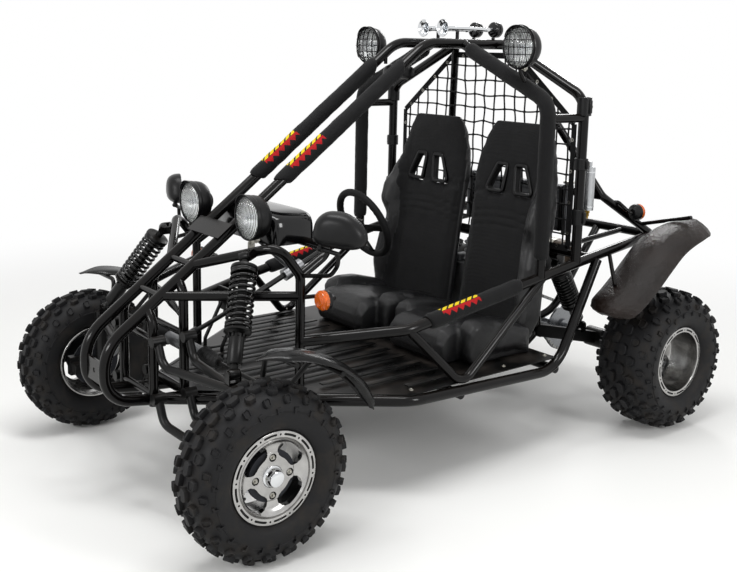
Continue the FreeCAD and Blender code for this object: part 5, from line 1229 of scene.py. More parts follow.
class BUGGY_OT_horns(bpy.types.Operator):
    """Builds the two trumpet horns with their drivers"""
    bl_idname = "buggy.horns"
    bl_label = "Horns"

    def execute(self, context):
        outer = [(0, 34), (-1.2, 33), (-1.0, 31.8), (3, 26.5), (10, 20), (24, 14.2), (48, 10.4), (90, 8.6),
                 (262, 8.2), (270, 8.2)]
        inner = [(270, 0), (266, 5), (90, 6.8), (48, 8.6), (24, 12.2), (10, 18), (3, 24.6), (1, 31)]
        mouth = Vector((56, 246, 1562))
        bell = lathe(outer + inner, mouth, Y, 48)
        rings = [lathe([(a, 8), (a + 1, 10.6), (a + 5, 10.6), (a + 6, 8)], mouth, Y, 32) for a in (60, 232)]
        base = mouth + Y * 270.3
        drum = lathe([(0, 0), (0, 22), (3, 29), (6, 31), (14, 31), (15, 28.5), (18, 28.5), (19, 31), (30, 31),
                      (36, 27), (43.6, 20), (43.6, 0)], base, Y, 40)
        fins = [block((-2, 6, -30.5), (2, 30, -24), 1).moved(
            Matrix.Translation(base) @ Matrix.Rotation(FULL * k / 12, 4, "Y")) for k in range(12)]
        nut = lathe([(43, 0), (43, 9), (50, 9), (51, 7), (51, 0)], base, Y, 6)
        pair("horn_{}", [(joined(bell, *rings), "chromed_brass"), (joined(drum, *fins), "gloss_abs"),
                         (nut, "zinc_plated_steel")], "chassis", "bright", ["horns", "horn_drivers"], mouth,
             sharp=40)
        return {"FINISHED"}


def mirror_outline(side, steps):
    """Outline of a mirror's shell in X and Z: egg-shaped outside, a flat lozenge (side 0) in the cabin."""
    wide, tall = (82, 58) if side else (90, 27)
    outline = []
    for k in range(steps):
        turn = FULL * k / steps
        c, s = math.cos(turn), math.sin(turn)
        x = wide * math.copysign(abs(c) ** (0.78 if side else 0.5), c)
        z = tall * math.copysign(abs(s) ** (0.95 if s > 0 else 0.6), s)
        if side:
            x *= 1 - 0.16 * (z / tall) + (0.12 if c > 0 else -0.06) * (1 - abs(s))
            z -= 6 * (x / wide)
        outline.append((x, z))
    return outline


class BUGGY_OT_mirrors(bpy.types.Operator):
    """Builds the two outside mirrors and the cabin mirror"""
    bl_idname = "buggy.mirrors"
    bl_label = "Mirrors"

    def execute(self, context):
        rows, steps = 9, 56
        for side, word in (*SIDES, (0, "cabin")):
            outline = mirror_outline(side, steps)
            # rings from the lip behind the glass to the crown of the shell
            stations = [(0.945, 4), (0.95, 7), (0.975, 7), (1.0, 5)]
            deep = 46 if side else 17
            for i in range(rows):
                turn = i / (rows - 1) * math.pi / 2
                share = math.cos(turn) ** 0.55 if i < rows - 1 else 0.06
                stations.append((share, -deep * math.sin(turn)))
            last = range((len(stations) - 1) * steps, len(stations) * steps)
            shell = Form([(x * share, depth, z * share) for share, depth in stations for x, z in outline],
                         net_of(len(stations), steps) + [tuple(last)])
            glass = Form([(x * share, depth, z * share) for share, depth in ((0.95, 4.5), (0.9, 2))
                          for x, z in outline], net_of(2, steps, False, True))
            if side:
                at = Vector((side * 531, -590, 922))
                turn = Matrix.Translation(at) @ Matrix.Rotation(math.radians(38 if side > 0 else -22), 4, "Z")
                if side < 0:
                    turn = turn @ Matrix.Scale(-1, 4, X)
            else:
                at = Vector((0, 76, 1391.5))
                turn = Matrix.Translation(at)
            forms = [(shell.moved(turn), "satin_abs"), (glass.moved(turn), "silvered_glass")]
            if side:
                ball = turn @ Vector((-52, -18, -58))
                foot = Vector((side * 531, -589, 846))
                stalk = sweep([ball + Z * 22, ball, foot, foot - Z * 3], 7.5, 16)
                knuckle = lathe([(-9, 0), (-7, 8), (0, 12), (7, 8), (9, 0)], ball, Z, 20)
                tip = turn @ Vector((70, -14, -20))
                forms += [(joined(stalk, knuckle), "satin_abs"), (bolt(tip, tip - at, 8), "zinc_plated_steel")]
            piece("mirror_" + word, forms, "chassis", "plastic", ["mirrors"], at, sharp=40)
        return {"FINISHED"}


class BUGGY_OT_steering_wheel(bpy.types.Operator):
    """Builds the steering wheel with its foam rim, three spokes and hub"""
    bl_idname = "buggy.steering_wheel"
    bl_label = "Steering wheel"

    def execute(self, context):
        hub = Vector((-245, 75, 745))
        column_foot = Vector((-245, -500, 492))
        place = oriented(hub, (hub - column_foot).normalized(), Z)
        count, steps = 96, 20
        ring = [Vector((x, y, 40)) for x, y in circle(145, count)]
        grip = sweep(ring, 15, steps, ring=True)
        # finger grips inside the rim, at both sides
        for i, middle in enumerate(ring):
            turn = FULL * i / count
            if -0.5 < math.sin(turn) < 0.75:
                for k in range(i * steps, (i + 1) * steps):
                    out = grip.points[k] - middle
                    if out.dot(middle) < 0:
                        grip.points[k] = middle + out * (1 + 0.05 * math.cos(turn * 60))
        spokes = []
        for degrees in (0, 180, 270):
            turn = math.radians(degrees)
            out = Vector((math.cos(turn), math.sin(turn), 0))
            flank = Vector((-out.y, out.x, 0))
            path = [out * r + Z * h for r, h in ((20, 14), (45, 15), (90, 27), (136, 38))]
            spokes.append(ribbon(path, flank, 30, 4.5))
        boss = lathe([(-40, 0), (-40, 17), (-10, 20), (-2, 34), (8, 35), (20, 33), (27, 28), (31, 18),
                      (32, 0)], ORIGIN, Z, 48)
        bolts = [bolt((x, y, 28.6), Z, 5, False) for x, y in circle(25, 6)]
        forms = [(grip, "grip_foam_rubber"), (joined(*spokes, boss), "satin_black_chassis_paint"),
                 (joined(*bolts), "zinc_plated_steel")]
        piece("hand_wheel", placed(forms, place), "wheel_steering", "grip_rubber", ["steering_wheel"], hub, sharp=45)
        return {"FINISHED"}


# fenders

def blade(path, widths, crown, crease, wall, lip):
    """Moulded fender along a path of (spot, upward normal) pairs, its edges turned down by a lip."""
    points = []
    shares = (-1.0, -0.97, -0.85, -0.6, -0.3, 0.0, 0.3, 0.6, 0.85, 0.97, 1.0)
    for i, (spot, up) in enumerate(path):
        t = i / (len(path) - 1)
        half = value_at(widths, t)
        ease = min(1.0, half / 60)
        top, under = [], []
        for s in shares:
            rise = crown * (1 - abs(s) ** 2.2) * ease
            rise += crease * math.exp(-((s - 0.25) / 0.12) ** 2) * ease
            drop = lip * ease * (max(0.0, abs(s) - 0.85) / 0.15) ** 2
            top.append(spot + X * (s * half) + up * (rise - drop))
            inset = wall if abs(s) > 0.9 else 0.0
            thin = wall * (0.4 if inset else 1)
            under.append(spot + X * (s * half - math.copysign(inset, s)) + up * (rise - drop - thin))
        points += top + under[::-1]
    return Form(points, net_of(len(path), 2 * len(shares), False, True))


class BUGGY_OT_fenders(bpy.types.Operator):
    """Builds the pointed front fenders and the broad rear fenders"""
    bl_idname = "buggy.fenders"
    bl_label = "Fenders"

    def execute(self, context):
        centre = Vector((645, -900, 205.5))
        path = []
        for k in range(33):
            turn = math.radians(98 - 74 * k / 32)
            out = Vector((0, math.cos(turn), math.sin(turn)))
            path.append((centre + out * 402, out))
        widths = ((0, 8), (0.18, 58), (0.45, 80), (0.7, 74), (0.9, 44), (1.0, 12))
        front = blade(path, widths, 10, 5, 3.5, 10)
        stations = ((590, 494), (598, 511), (612, 528), (634, 545), (672, 569), (734, 615), (802, 672),
                    (878, 729), (972, 766), (1078, 788))
        smooth = curve_through([(0, y, z) for y, z in stations], 7)
        path = []
        for i, spot in enumerate(smooth):
            run = (smooth[min(i + 1, len(smooth) - 1)] - smooth[max(i - 1, 0)]).normalized()
            up = Vector((0, -run.z, run.y))
            path.append((Vector((665, spot.y, spot.z)) + up * 0.5, up))
        widths = ((0, 34), (0.03, 62), (0.08, 88), (0.15, 104), (0.3, 115), (0.9, 118), (0.97, 110), (1.0, 92))
        rear = blade(path, widths, 44, 3, 3.6, 6)
        pair("guard_front_{}", [(front, "grained_polypropylene")], "knuckle_{}", "plastic", ["fender_front_{}"],
             (645, -900, 600), sharp=50)
        pair("guard_rear_{}", [(rear, "hammered_polypropylene")], "chassis", "plastic", ["fenders_rear"],
             (665, 850, 700), sharp=50)
        return {"FINISHED"}


# cowl, floor and clamps

class BUGGY_OT_cowl(bpy.types.Operator):
    """Builds the glossy cowl with its round gauge and warning lamps"""
    bl_idname = "buggy.cowl"
    bl_label = "Cowl"

    def execute(self, context):
        steps = 25
        points = []
        for y, wide, tall in COWL_STATIONS:
            for k in range(steps):
                turn = math.pi * k / (steps - 1)
                c, s = math.cos(turn), max(0.0, math.sin(turn))
                x = 198 * wide * math.copysign(abs(c) ** 0.36, c)
                points.append((x, y, 814 + 112 * tall * s ** 0.36))
        shell = Form(points, net_of(len(COWL_STATIONS), steps, False, True))
        at = Vector((-110, -441, 868))
        ring = lathe([(0, 32), (5, 33), (8, 36), (8, 39), (4, 41), (0, 41)], at, Y, 48)
        dial = lathe([(2, 0), (2, 33), (0, 33)], at, Y, 48)
        ticks = [block((-0.8, 2, 22), (0.8, 2.8, 29), 0.3).moved(
            Matrix.Translation(at) @ Matrix.Rotation(math.radians(k * 27 - 135), 4, "Y")) for k in range(11)]
        hand = block((-0.7, 3, -5), (0.7, 3.8, 24), 0.3).moved(
            Matrix.Translation(at) @ Matrix.Rotation(math.radians(-135), 4, "Y"))
        glass = lathe([(6, 0), (6, 35), (4, 35)], at, Y, 48)
        lamps = [lathe([(0, 8), (5, 7), (8, 4), (9, 0)], at + Vector((x, 1, 4)), Y, 20) for x in (62, 86, 110)]
        piece("cowl", [(shell, "gloss_abs"), (joined(ring, hand), "chromed_brass"), (dial, "satin_abs"),
                       (joined(*ticks), "ivory_moulding"), (glass, "clear_polycarbonate"),
                       (joined(*lamps), "amber_polycarbonate")],
              "chassis", "shell_plastic", ["dash"], (0, -520, 870), sharp=40)
        return {"FINISHED"}


# (y, share of the half width, share of the height)
COWL_STATIONS = (
    (-610, 0.92, 0.90), (-604, 0.97, 0.97), (-592, 0.995, 1.0), (-560, 1.0, 1.0), (-500, 0.985, 0.975),
    (-458, 0.965, 0.945), (-446, 0.945, 0.925), (-441, 0.91, 0.89),
)


class BUGGY_OT_floor_ribs(bpy.types.Operator):
    """Builds the pressed ribs and the fixing bolts of the floor plate"""
    bl_idname = "buggy.floor_ribs"
    bl_label = "Floor ribs"

    def execute(self, context):
        ribs, bolts = [], []
        for side in (1, -1):
            for x in (62, 152, 242, 332, 422, 508):
                front = max(-800, -905 + (x - 98) / 467 * 605 + 95)
                ribs.append(block((side * x - 13, front, 349.5), (side * x + 13, -64, 354.2), 2.2, 2))
            for y in (-290, -70, 150, 370):
                bolts.append(bolt((side * 549, y, 351), Z, 8))
        piece("floor_ribs", [(joined(*ribs), "black_floor_enamel"), (joined(*bolts), "zinc_plated_steel")],
              "chassis", "frame_paint", (), (0, -300, 351), sharp=50)
        return {"FINISHED"}


class BUGGY_OT_clamps(bpy.types.Operator):
    """Builds the hoop's collars, the canister's fittings and the lamps' tabs"""
    bl_idname = "buggy.clamps"
    bl_label = "Clamps and tabs"

    def execute(self, context):
        collars, brass, tabs, bolts = [], [], [], []
        for side in (1, -1):
            for z, reach, long in ((1282, 27, 34), (1068, 25.5, 22), (868, 24.5, 30)):
                at = Vector((side * 553, 512, z))
                collars.append(lathe([(-long, 20.5), (-long, reach - 1.5), (1.5 - long, reach), (long - 1.5, reach),
                                      (long, reach - 1.5), (long, 20.5)], at, Z, 32))
                collars.append(block((side * 571, 505, z - long * 0.7), (side * 586, 519, z + long * 0.7), 2))
                bolts.append(bolt((side * 579, 519, z), Y, 7))
            outline = [(-13, 0), (13, 0), (13, 30), (8, 39), (-8, 39), (-13, 30)]
            spot = Vector((side * 207.5, -706, 812))
            tab = prism(outline, 0, 3, oriented(spot, X * side, Y) @ Matrix.Rotation(math.radians(90), 4, "Z"))
            tabs.append(tab)
            bolts.append(bolt(spot + Vector((side * 3, 0, 28)), X * side, 8))
        piece("clamps", [(joined(*collars), "satin_abs"), (joined(*tabs, *bolts), "zinc_plated_steel")],
              "chassis", "frame_paint", (), (0, 512, 1000), sharp=40)
        at = Vector((478, 657, 873))
        for low, reach in ((-13, 8), (-25, 6)):
            brass.append(lathe([(low, 0), (low, reach), (low + 1, reach + 1), (low + 11, reach + 1), (low + 12, 0)], at, Z, 6))
        brass.append(bar(at, at - Z * 34, 4.5, 16, 1))
        bands = [lathe([(z - 2, 22), (z - 2, 22.8), (z + 2, 22.8), (z + 2, 22)], at, Z, 40, closed=True) for z in
                 (14, 150)]
        piece("canister_fittings", [(joined(*brass), "brass"), (joined(*bands), "chromed_brass")], "chassis", "bright",
              (), (478, 657, 900), sharp=35)
        return {"FINISHED"}


# engine bay and brakes

def drilled_disc(reach, hub, wall, holes):
    """Brake disc about the origin, facing X, with rows of holes."""
    disc = lathe([(0, hub), (0, reach), (wall, reach), (wall, hub)], ORIGIN, X, 96, closed=True)
    tools = []
    for k in range(holes):
        for row in (0, 1):
            turn = FULL * (k + row * 0.5) / holes
            r = reach - 11 - row * 13
            tools.append(prism(circle(3.6, 12, (r * math.cos(turn), r * math.sin(turn))), -5, wall + 5, FLAT))
    return cut(disc, *tools)


def caliper(reach):
    """Brake caliper gripping the edge of a disc about the origin, at the top."""
    body = joined(block((-24, -34, reach - 30), (-4, 34, reach + 13), 5, 3),
                  block((9, -30, reach - 28), (24, 30, reach + 13), 5, 3),
                  block((-20, -26, reach + 4), (20, 26, reach + 16), 4, 3))
    pots = [lathe([(0, 0), (0, 13), (5, 12), (7, 9), (7, 0)], (-23, y, reach - 9), -X, 24) for y in (-15, 15)]
    bolts = [bolt((-24, y, reach + 6), -X, 9) for y in (-27, 27)]
    return joined(body, *pots), joined(*bolts)


class BUGGY_OT_brakes(bpy.types.Operator):
    """Builds the drilled brake discs and the calipers"""
    bl_idname = "buggy.brakes"
    bl_label = "Brakes"

    def execute(self, context):
        disc = drilled_disc(90.5, 40, 3, 20)
        body, bolts = caliper(90)
        swing = Matrix.Rotation(math.radians(-52), 4, "X")
        for side, word in SIDES:
            parts = [form.at(578, -930, 266.5) for form in (disc, body.moved(swing), bolts.moved(swing))]
            if side < 0:
                parts = [form.mirrored() for form in parts]
            spot = (side * 578, -930, 266.5)
            piece("brake_disc_" + word, [(parts[0], "ground_steel")], "wheel_front_" + word[0], "steel", (), spot,
                  sharp=35)
            piece("caliper_" + word, [(parts[1], "cast_aluminium"), (parts[2], "zinc_plated_steel")],
                  "knuckle_" + word[0], "steel", (), spot, sharp=40)
        at = Vector((-170, 930, 279.5))
        rear = drilled_disc(100.5, 46, 6, 22).at(at.x - 0.5, at.y, at.z)
        body, bolts = caliper(100)
        swing = Matrix.Rotation(math.radians(38), 4, "X")
        piece("brake_disc_rear", [(rear, "ground_steel")], "wheels_rear", "steel", (), at, sharp=35)
        piece("caliper_rear", [(body.moved(swing).at(*at), "cast_aluminium"),
                               (bolts.moved(swing).at(*at), "zinc_plated_steel")], "chassis", "steel", (), at, sharp=40)
        return {"FINISHED"}


def chain_line(rear, rear_radius, front, front_radius, pitch):
    """Points a pitch apart on the loop round two sprockets, as (y, z) vectors."""
    run = Vector(front) - Vector(rear)
    reach = run.length
    lean = math.acos((rear_radius - front_radius) / reach)
    heading = math.atan2(run.y, run.x)
    path = []
    for k in range(41):
        turn = heading + lean + (FULL - 2 * lean) * k / 40
        path.append(Vector(rear) + rear_radius * Vector((math.cos(turn), math.sin(turn))))
    for k in range(13):
        turn = heading - lean + 2 * lean * k / 12
        path.append(Vector(front) + front_radius * Vector((math.cos(turn), math.sin(turn))))
    path.append(path[0])
    total = sum((b - a).length for a, b in zip(path, path[1:]))
    count = round(total / pitch / 2) * 2
    places, step, walked, index = [], total / count, 0.0, 0
    for k in range(count):
        while walked + (path[index + 1] - path[index]).length < k * step:
            walked += (path[index + 1] - path[index]).length
            index += 1
        edge = path[index + 1] - path[index]
        places.append(path[index] + edge * ((k * step - walked) / edge.length))
    return places


class BUGGY_OT_drive(bpy.types.Operator):
    """Builds the drive chain, the engine's covers, the exhaust's fittings and the radiator cap"""
    bl_idname = "buggy.drive"
    bl_label = "Drive and engine covers"

    def execute(self, context):
        spots = chain_line((930.0, 279.5), 97.0, (705.0, 436.0), 34.0, 15.9)
        plates, rollers = [], []
        for k, (here, there) in enumerate(zip(spots, spots[1:] + spots[:1])):
            run = there - here
            middle = (here + there) / 2
            turn = math.atan2(run.y, run.x)
            gap = 8.0 if k % 2 else 6.2
            outline = slot_outline(run.length / 2, 6.2)
            for side in (-1, 1):
                face = Matrix.Translation((154.5 + side * gap, middle.x, middle.y)) @ Matrix.Rotation(turn, 4, "X")
                plates.append(prism(outline, -0.8, 0.8, face @ FLAT))
            rollers.append(bar((144.9, here.x, here.y), (164.1, here.x, here.y), 4.2, 10, 0.6))
        piece("drive_chain", [(joined(*plates), "ground_steel"), (joined(*rollers), "zinc_plated_steel")], "chassis",
              "steel", (), (154.5, 820, 360), sharp=35)
        clutch = Vector((120.3, 574, 478))
        covers = [
            lathe([(0, 0), (0, 46), (6, 46), (9, 43), (9, 14), (48, 13), (48, 0)], (120.3, 705, 436), X, 48),
            lathe([(0, 0), (0, 78), (18, 78), (25, 72), (27, 60), (27, 24), (33, 20), (34, 0)], clutch, X, 64),
            lathe([(0, 0), (0, 40), (12, 40), (16, 36), (16, 0)], (-60, 781.7, 470), Y, 40),
            block((-104, 500, 585.6), (-66, 560, 618), 6, 3), block((60, 640, 585.6), (104, 760, 602), 6, 3),
        ]
        ribs = [block((3, -3, 30), (30, 3, 72), 1.5).moved(
            Matrix.Translation(clutch) @ Matrix.Rotation(FULL * k / 10, 4, "X")) for k in range(10)]
        bolts = [bolt((138, clutch.y + 70 * math.cos(t), clutch.z + 70 * math.sin(t)), X, 8)
                 for t in [FULL * (k + 0.5) / 6 for k in range(6)]]
        plug = joined(bar((40, 520, 694), (40, 520, 716), 9, 20, 2), bar((40, 520, 712), (40, 556, 726), 7, 20, 2))
        piece("engine_covers", [(joined(*covers, *ribs), "cast_aluminium"), (joined(*bolts), "zinc_plated_steel"),
                                (plug, "epdm_rubber")], "chassis", "engine_metal", (), (0, 632, 478), sharp=40)
        rings = []
        for y, reach in ((557, 78), (757, 66)):
            at = (-205.1, y, 478)
            rings.append(lathe([(0, 0), (0, reach), (5, reach - 2), (6, reach - 14), (3, reach - 18), (3, 26),
                                (9, 22), (10, 0)], at, -X, 64))
            rings += [block((-8, -3, 28), (-3, 3, reach - 17), 1.2).moved(
                Matrix.Translation(at) @ Matrix.Rotation(FULL * (k + 0.5) / 8, 4, "X")) for k in range(8)]
        screws = [bolt((-205.1, 557 + k * 40, z), -X, 8) for z in (568, 388) for k in range(6)]
        piece("belt_case_ribs", [(joined(*rings), "satin_abs"), (joined(*screws), "zinc_plated_steel")],
              "chassis", "plastic", (), (-205, 657, 478), sharp=40)
        exhaust = Vector((0, 900, 610))
        bands = [lathe([(-14, 65), (-14, 67), (14, 67), (14, 65)], exhaust + X * x, X, 64, closed=True)
                 for x in (-120, 120)]
        ends = [lathe([(0, 0), (0, 64), (3, 66.5), (7, 66.5), (10, 62), (14, 40), (16, 0)],
                      exhaust + X * (side * 179.5), X * side, 64) for side in (1, -1)]
        tail = curve_through([(-170, 930, 600), (-205, 940, 598), (-222, 985, 592), (-224, 1030, 588)], 6)
        piece("exhaust_fittings", [(joined(*bands), "zinc_plated_steel"),
                                   (joined(*ends, sweep(tail, 17, 24)), "heat_browned_steel")],
              "chassis", "steel", (), exhaust, sharp=40)
        top = Vector((283, 770, 940.5))
        cap = joined(lathe([(0, 0), (0, 16), (6, 16), (6, 23), (14, 23), (16, 20), (16, 0)], top, Z, 40),
                     block((-27, -5, 8), (27, 5, 14), 2).at(*top))
        bars = [block((side * 262 - 6, 742, 746), (side * 262 + 6, 748, 934), 2) for side in (1, -1)]
        piece("radiator_cap", [(cap, "zinc_plated_steel"), (joined(*bars), "satin_black_chassis_paint")], "chassis",
              "steel", (), top, sharp=40)
        return {"FINISHED"}


def slot_outline(half, radius, steps=6):
    """Outline of a link plate: two half circles a pitch apart."""
    return [(side * half + radius * math.cos(turn), radius * math.sin(turn)) for side, start in ((1, -0.5), (-1, 0.5))
            for turn in [math.pi * (start + k / steps) for k in range(steps + 1)]]


# sleeves and net

def spine_at(y):
    """Point on the sloping part of the left spine tube at a place along the length."""
    part = (y + 1165) / 1301
    return Vector((75 + part * 15, y, 522 + part * 981))


def rail_at(y):
    """Point on the left side rail at a place along the length, behind its widest corner."""
    part = (y + 270) / 782
    return Vector((505 + part * 48, y, 545 + part * 145))


def sleeve(path, slant, seed, steps=44):
    """Foam sleeve along a path: puckered at its ends, lightly creased, with a seam underneath."""
    path = spaced(path, 7)
    last = len(path) - 1
    form = sweep(path, 1.0, steps)
    points = []
    for i, spot in enumerate(path):
        gap = min(i, last - i) * 7
        swell = 28.6 - 5.0 * math.exp(-gap / 6)
        for k in range(steps):
            out = form.points[i * steps + k] - spot
            turn = FULL * k / steps
            crease = noise.noise(Vector((math.cos(turn) * 1.4, math.sin(turn) * 1.4, i * 0.16 + seed))) * 1.3
            crease += noise.noise(Vector((math.cos(turn) * 3, math.sin(turn) * 3, i * 0.5 + seed))) * 0.5
            seam = 1.6 * math.exp(-((turn - 4.7) / 0.07) ** 2)
            end = slant * math.cos(turn - 1.2) * (math.exp(-(last - i) * 7 / 30) - math.exp(-i * 7 / 30))
            along = (path[min(i + 1, last)] - path[max(i - 1, 0)]).normalized()
            points.append(spot + out * (swell + crease - seam) + along * end)
    return Form(points, form.faces, form.route)


class BUGGY_OT_sleeves(bpy.types.Operator):
    """Builds the foam sleeves on the spine tubes, the front hoop and the side rails"""
    bl_idname = "buggy.sleeves"
    bl_label = "Foam sleeves"

    def execute(self, context):
        hoop = rounded([(545, 325, 730), (545, 325, 1300), (128, 325, 1483)], 90, 8)
        rows = (("spine", [spine_at(-508), spine_at(18)], 16, "printed_nylon_sleeve"),
                ("rail", [rail_at(-188), rail_at(226)], 5, "printed_nylon_sleeve"),
                ("hoop", hoop, 3, "woven_nylon"))
        for seed, (name, path, slant, skin) in enumerate(rows):
            for side, word in SIDES:
                form = sleeve(path, slant, seed * 7 + (side > 0) * 3)
                if side < 0:
                    form = form.mirrored()
                    form.route = [(a, (0.5 - b) % 1) for a, b in form.route]
                thing = piece("sleeve_%s_%s" % (name, word), [(form, skin)], "chassis", "pad_cloth", ["frame_pads"],
                              (side * path[0][0], path[0][1], path[0][2]), sharp=70)
        return {"FINISHED"}


class BUGGY_OT_net(bpy.types.Operator):
    """Builds the knotted net with its webbing border and lashings"""
    bl_idname = "buggy.net"
    bl_label = "Net"

    def execute(self, context):
        def place(x, z):
            """Where a place of the flat net comes to lie."""
            edge = max(0.0, 1 - abs(x) / 505) ** 0.5 * max(0.0, min(1.0, (z - 728) / 90, (1478 - z) / 90))
            shift = noise.noise_vector(Vector((x / 90, z / 90, 3.0)))
            sag = -10 * (1 - (x / 500) ** 2)
            return Vector((x + shift.x * 15 * edge, 536 + (10 * (1 - (x / 500) ** 2) + shift.y * 3) * edge,
                           z + (shift.z * 12 + sag) * edge))

        def top_at(x):
            """Height of the net's upper edge."""
            return 1465 if abs(x) < 188 else 1465 - (abs(x) - 188) / 310 * 251
        forms = []
        for k in range(-8, 9):
            x = k * 58
            path = [place(x, z) for z in steps_between(734, top_at(x) - 4, 12)]
            forms.append(sweep(path, 3.3, 8))
        for k in range(1, 13):
            z = 728 + k * 58
            half = 496 if z < 1214 else 188 + (1465 - z) / 251 * 310
            path = [place(x, z) for x in steps_between(-half + 3, half - 3, 12)]
            forms.append(sweep(path, 3.3, 8))
            for m in range(-8, 9):
                if abs(m * 58) < half - 10:
                    knot = place(m * 58, z)
                    forms.append(lathe([(-6, 0), (-5, 4.6), (0, 6.6), (5, 4.6), (6, 0)], knot, (0.4, 0.2, 1), 10))
        outline = [(-492, 734), (492, 734), (492, 1212), (186, 1460), (-186, 1460), (-492, 1212)]
        border, hooks = [], []
        for (a, b), (c, d) in zip(outline, outline[1:] + outline[:1]):
            run = Vector((c - a, 0, d - b))
            inward = Vector((0, 0, 1100)) - Vector(((a + c) / 2, 0, (b + d) / 2))
            inward = (inward - run * inward.dot(run) / run.length_squared).normalized()
            path = [Vector((a, 534, b)) + run * t for t in steps_between(0, 1, 0.04)]
            border.append(ribbon(path, inward, 24, 2.4))
            count = max(2, round(run.length / 110))
            for k in range(count):
                spot = Vector((a, 534, b)) + run * ((k + 0.5) / count) - inward * 2
                hooks.append(lathe([(-3, 3.5), (-3, 7), (3, 7), (3, 3.5)], spot + inward * 6, Y, 16, closed=True))
        thing = piece("net_cords", [(joined(*forms), "woven_nylon"), (joined(*border), "polyester_webbing"),
                                    (joined(*hooks), "zinc_plated_steel")], "chassis", "webbing", ["net"],
                      (0, 534, 1100), sharp=50)
        return {"FINISHED"}


def steps_between(low, high, step):
    """Even places from one number to another, about a step apart."""
    parts = max(1, round(abs(high - low) / step))
    return [low + (high - low) * k / parts for k in range(parts + 1)]


def ribbon(path, side, width, wall):
    """Flat band along a path, lying in the plane of the path and a side direction."""
    side = Vector(side).normalized()
    points = []
    for i, spot in enumerate(path):
        along = (Vector(path[min(i + 1, len(path) - 1)]) - Vector(path[max(i - 1, 0)])).normalized()
        face = along.cross(side).normalized()
        for a, b in ((-0.5, -0.3), (-0.42, -0.5), (0.42, -0.5), (0.5, -0.3), (0.5, 0.3), (0.42, 0.5), (-0.42, 0.5),
                     (-0.5, 0.3)):
            points.append(Vector(spot) + side * (a * width) + face * (b * wall))
    count = 8
    faces = net_of(len(path), count, False)
    faces.append(tuple(range(count))[::-1])
    faces.append(tuple(range((len(path) - 1) * count, len(path) * count)))
    return Form(points, faces)


# stage

class BUGGY_OT_stage(bpy.types.Operator):
    """Sets the pale floor, the soft lamps, the white world and the camera"""
    bl_idname = "buggy.stage"
    bl_label = "Studio stage"

    def execute(self, context):
        scene = context.scene
        scene.view_settings.view_transform = "Standard"
        mesh = bpy.data.meshes.new("floor")
        reach = 30.0
        mesh.from_pydata([(-reach, -reach, 0), (reach, -reach, 0), (reach, reach, 0), (-reach, reach, 0)], [],
                         [(0, 1, 2, 3)])
        floor = bpy.data.objects.new("floor", mesh)
        scene.collection.objects.link(floor)
        mesh.materials.append(floor_finish())
        sizes = context.scene.buggy_sizes
        for name, spot, aim, size, power in LAMPS:
            light = bpy.data.lights.new(name, "AREA")
            light.shape = "RECTANGLE"
            light.size, light.size_y = size
            light.energy = power * sizes.lamp_level
            lamp = bpy.data.objects.new(name, light)
            scene.collection.objects.link(lamp)
            lamp.location = spot
            lamp.rotation_mode = "QUATERNION"
            lamp.rotation_quaternion = (Vector(spot) - Vector(aim)).to_track_quat("Z", "Y")
        scene.world = bpy.data.worlds.new("studio")
        scene.world.use_nodes = True
        tree = scene.world.node_tree
        tree.nodes.clear()
        seen = seen_directly(tree)
        level = add(tree, "MapRange", {"Value": seen, "To Min": sizes.world_level, "To Max": 1.0})
        back = add(tree, "Background", {"Color": (1, 1, 1, 1), "Strength": level})
        add(tree, "OutputWorld", {"Surface": back})
        camera = bpy.data.objects.new("camera", bpy.data.cameras.new("camera"))
        scene.collection.objects.link(camera)
        a, e, roll = (math.radians(v) for v in (51.878, 9.8786, 1.171))
        back = Vector((math.sin(a) * math.cos(e), -math.cos(a) * math.cos(e), math.sin(e)))
        right = (-back).cross(Z).normalized()
        up = right.cross(-back)
        turned = right * math.cos(roll) + up * math.sin(roll)
        upright = up * math.cos(roll) - right * math.sin(roll)
        camera.rotation_mode = "QUATERNION"
        camera.rotation_quaternion = Matrix((turned, upright, back)).transposed().to_quaternion()
        camera.location = (2.89843, -2.34178, 1.46593)
        camera.data.sensor_width = 36.0
        camera.data.lens = 47.427
        camera.data.shift_x = 0.001626
        camera.data.shift_y = -0.08877
        camera.data.clip_end = 200.0
        scene.camera = camera
        return {"FINISHED"}


LAMPS = (
    ("lamp_over", (0.4, -0.6, 4.2), (0, 0, 0.6), (3.0, 0.8), 90.0),
    ("lamp_front", (1.2, -5.2, 2.6), (0, 0, 0.6), (2.4, 0.7), 90.0),
    ("lamp_side", (5.0, 0.8, 2.4), (0, 0.2, 0.6), (0.8, 1.8), 70.0),
    ("lamp_back", (-2.6, 4.2, 3.0), (0, 0, 0.8), (1.6, 0.6), 50.0),
)


def seen_directly(tree):
    """Factor of 1 for rays that come from the camera, a gloss or a clear material."""
    rays = add(tree, "LightPath")
    first = add(tree, "Math", {0: rays.outputs["Is Camera Ray"], 1: rays.outputs["Is Glossy Ray"]},
                operation="MAXIMUM")
    return add(tree, "Math", {0: first, 1: rays.outputs["Is Transmission Ray"]}, operation="MAXIMUM")


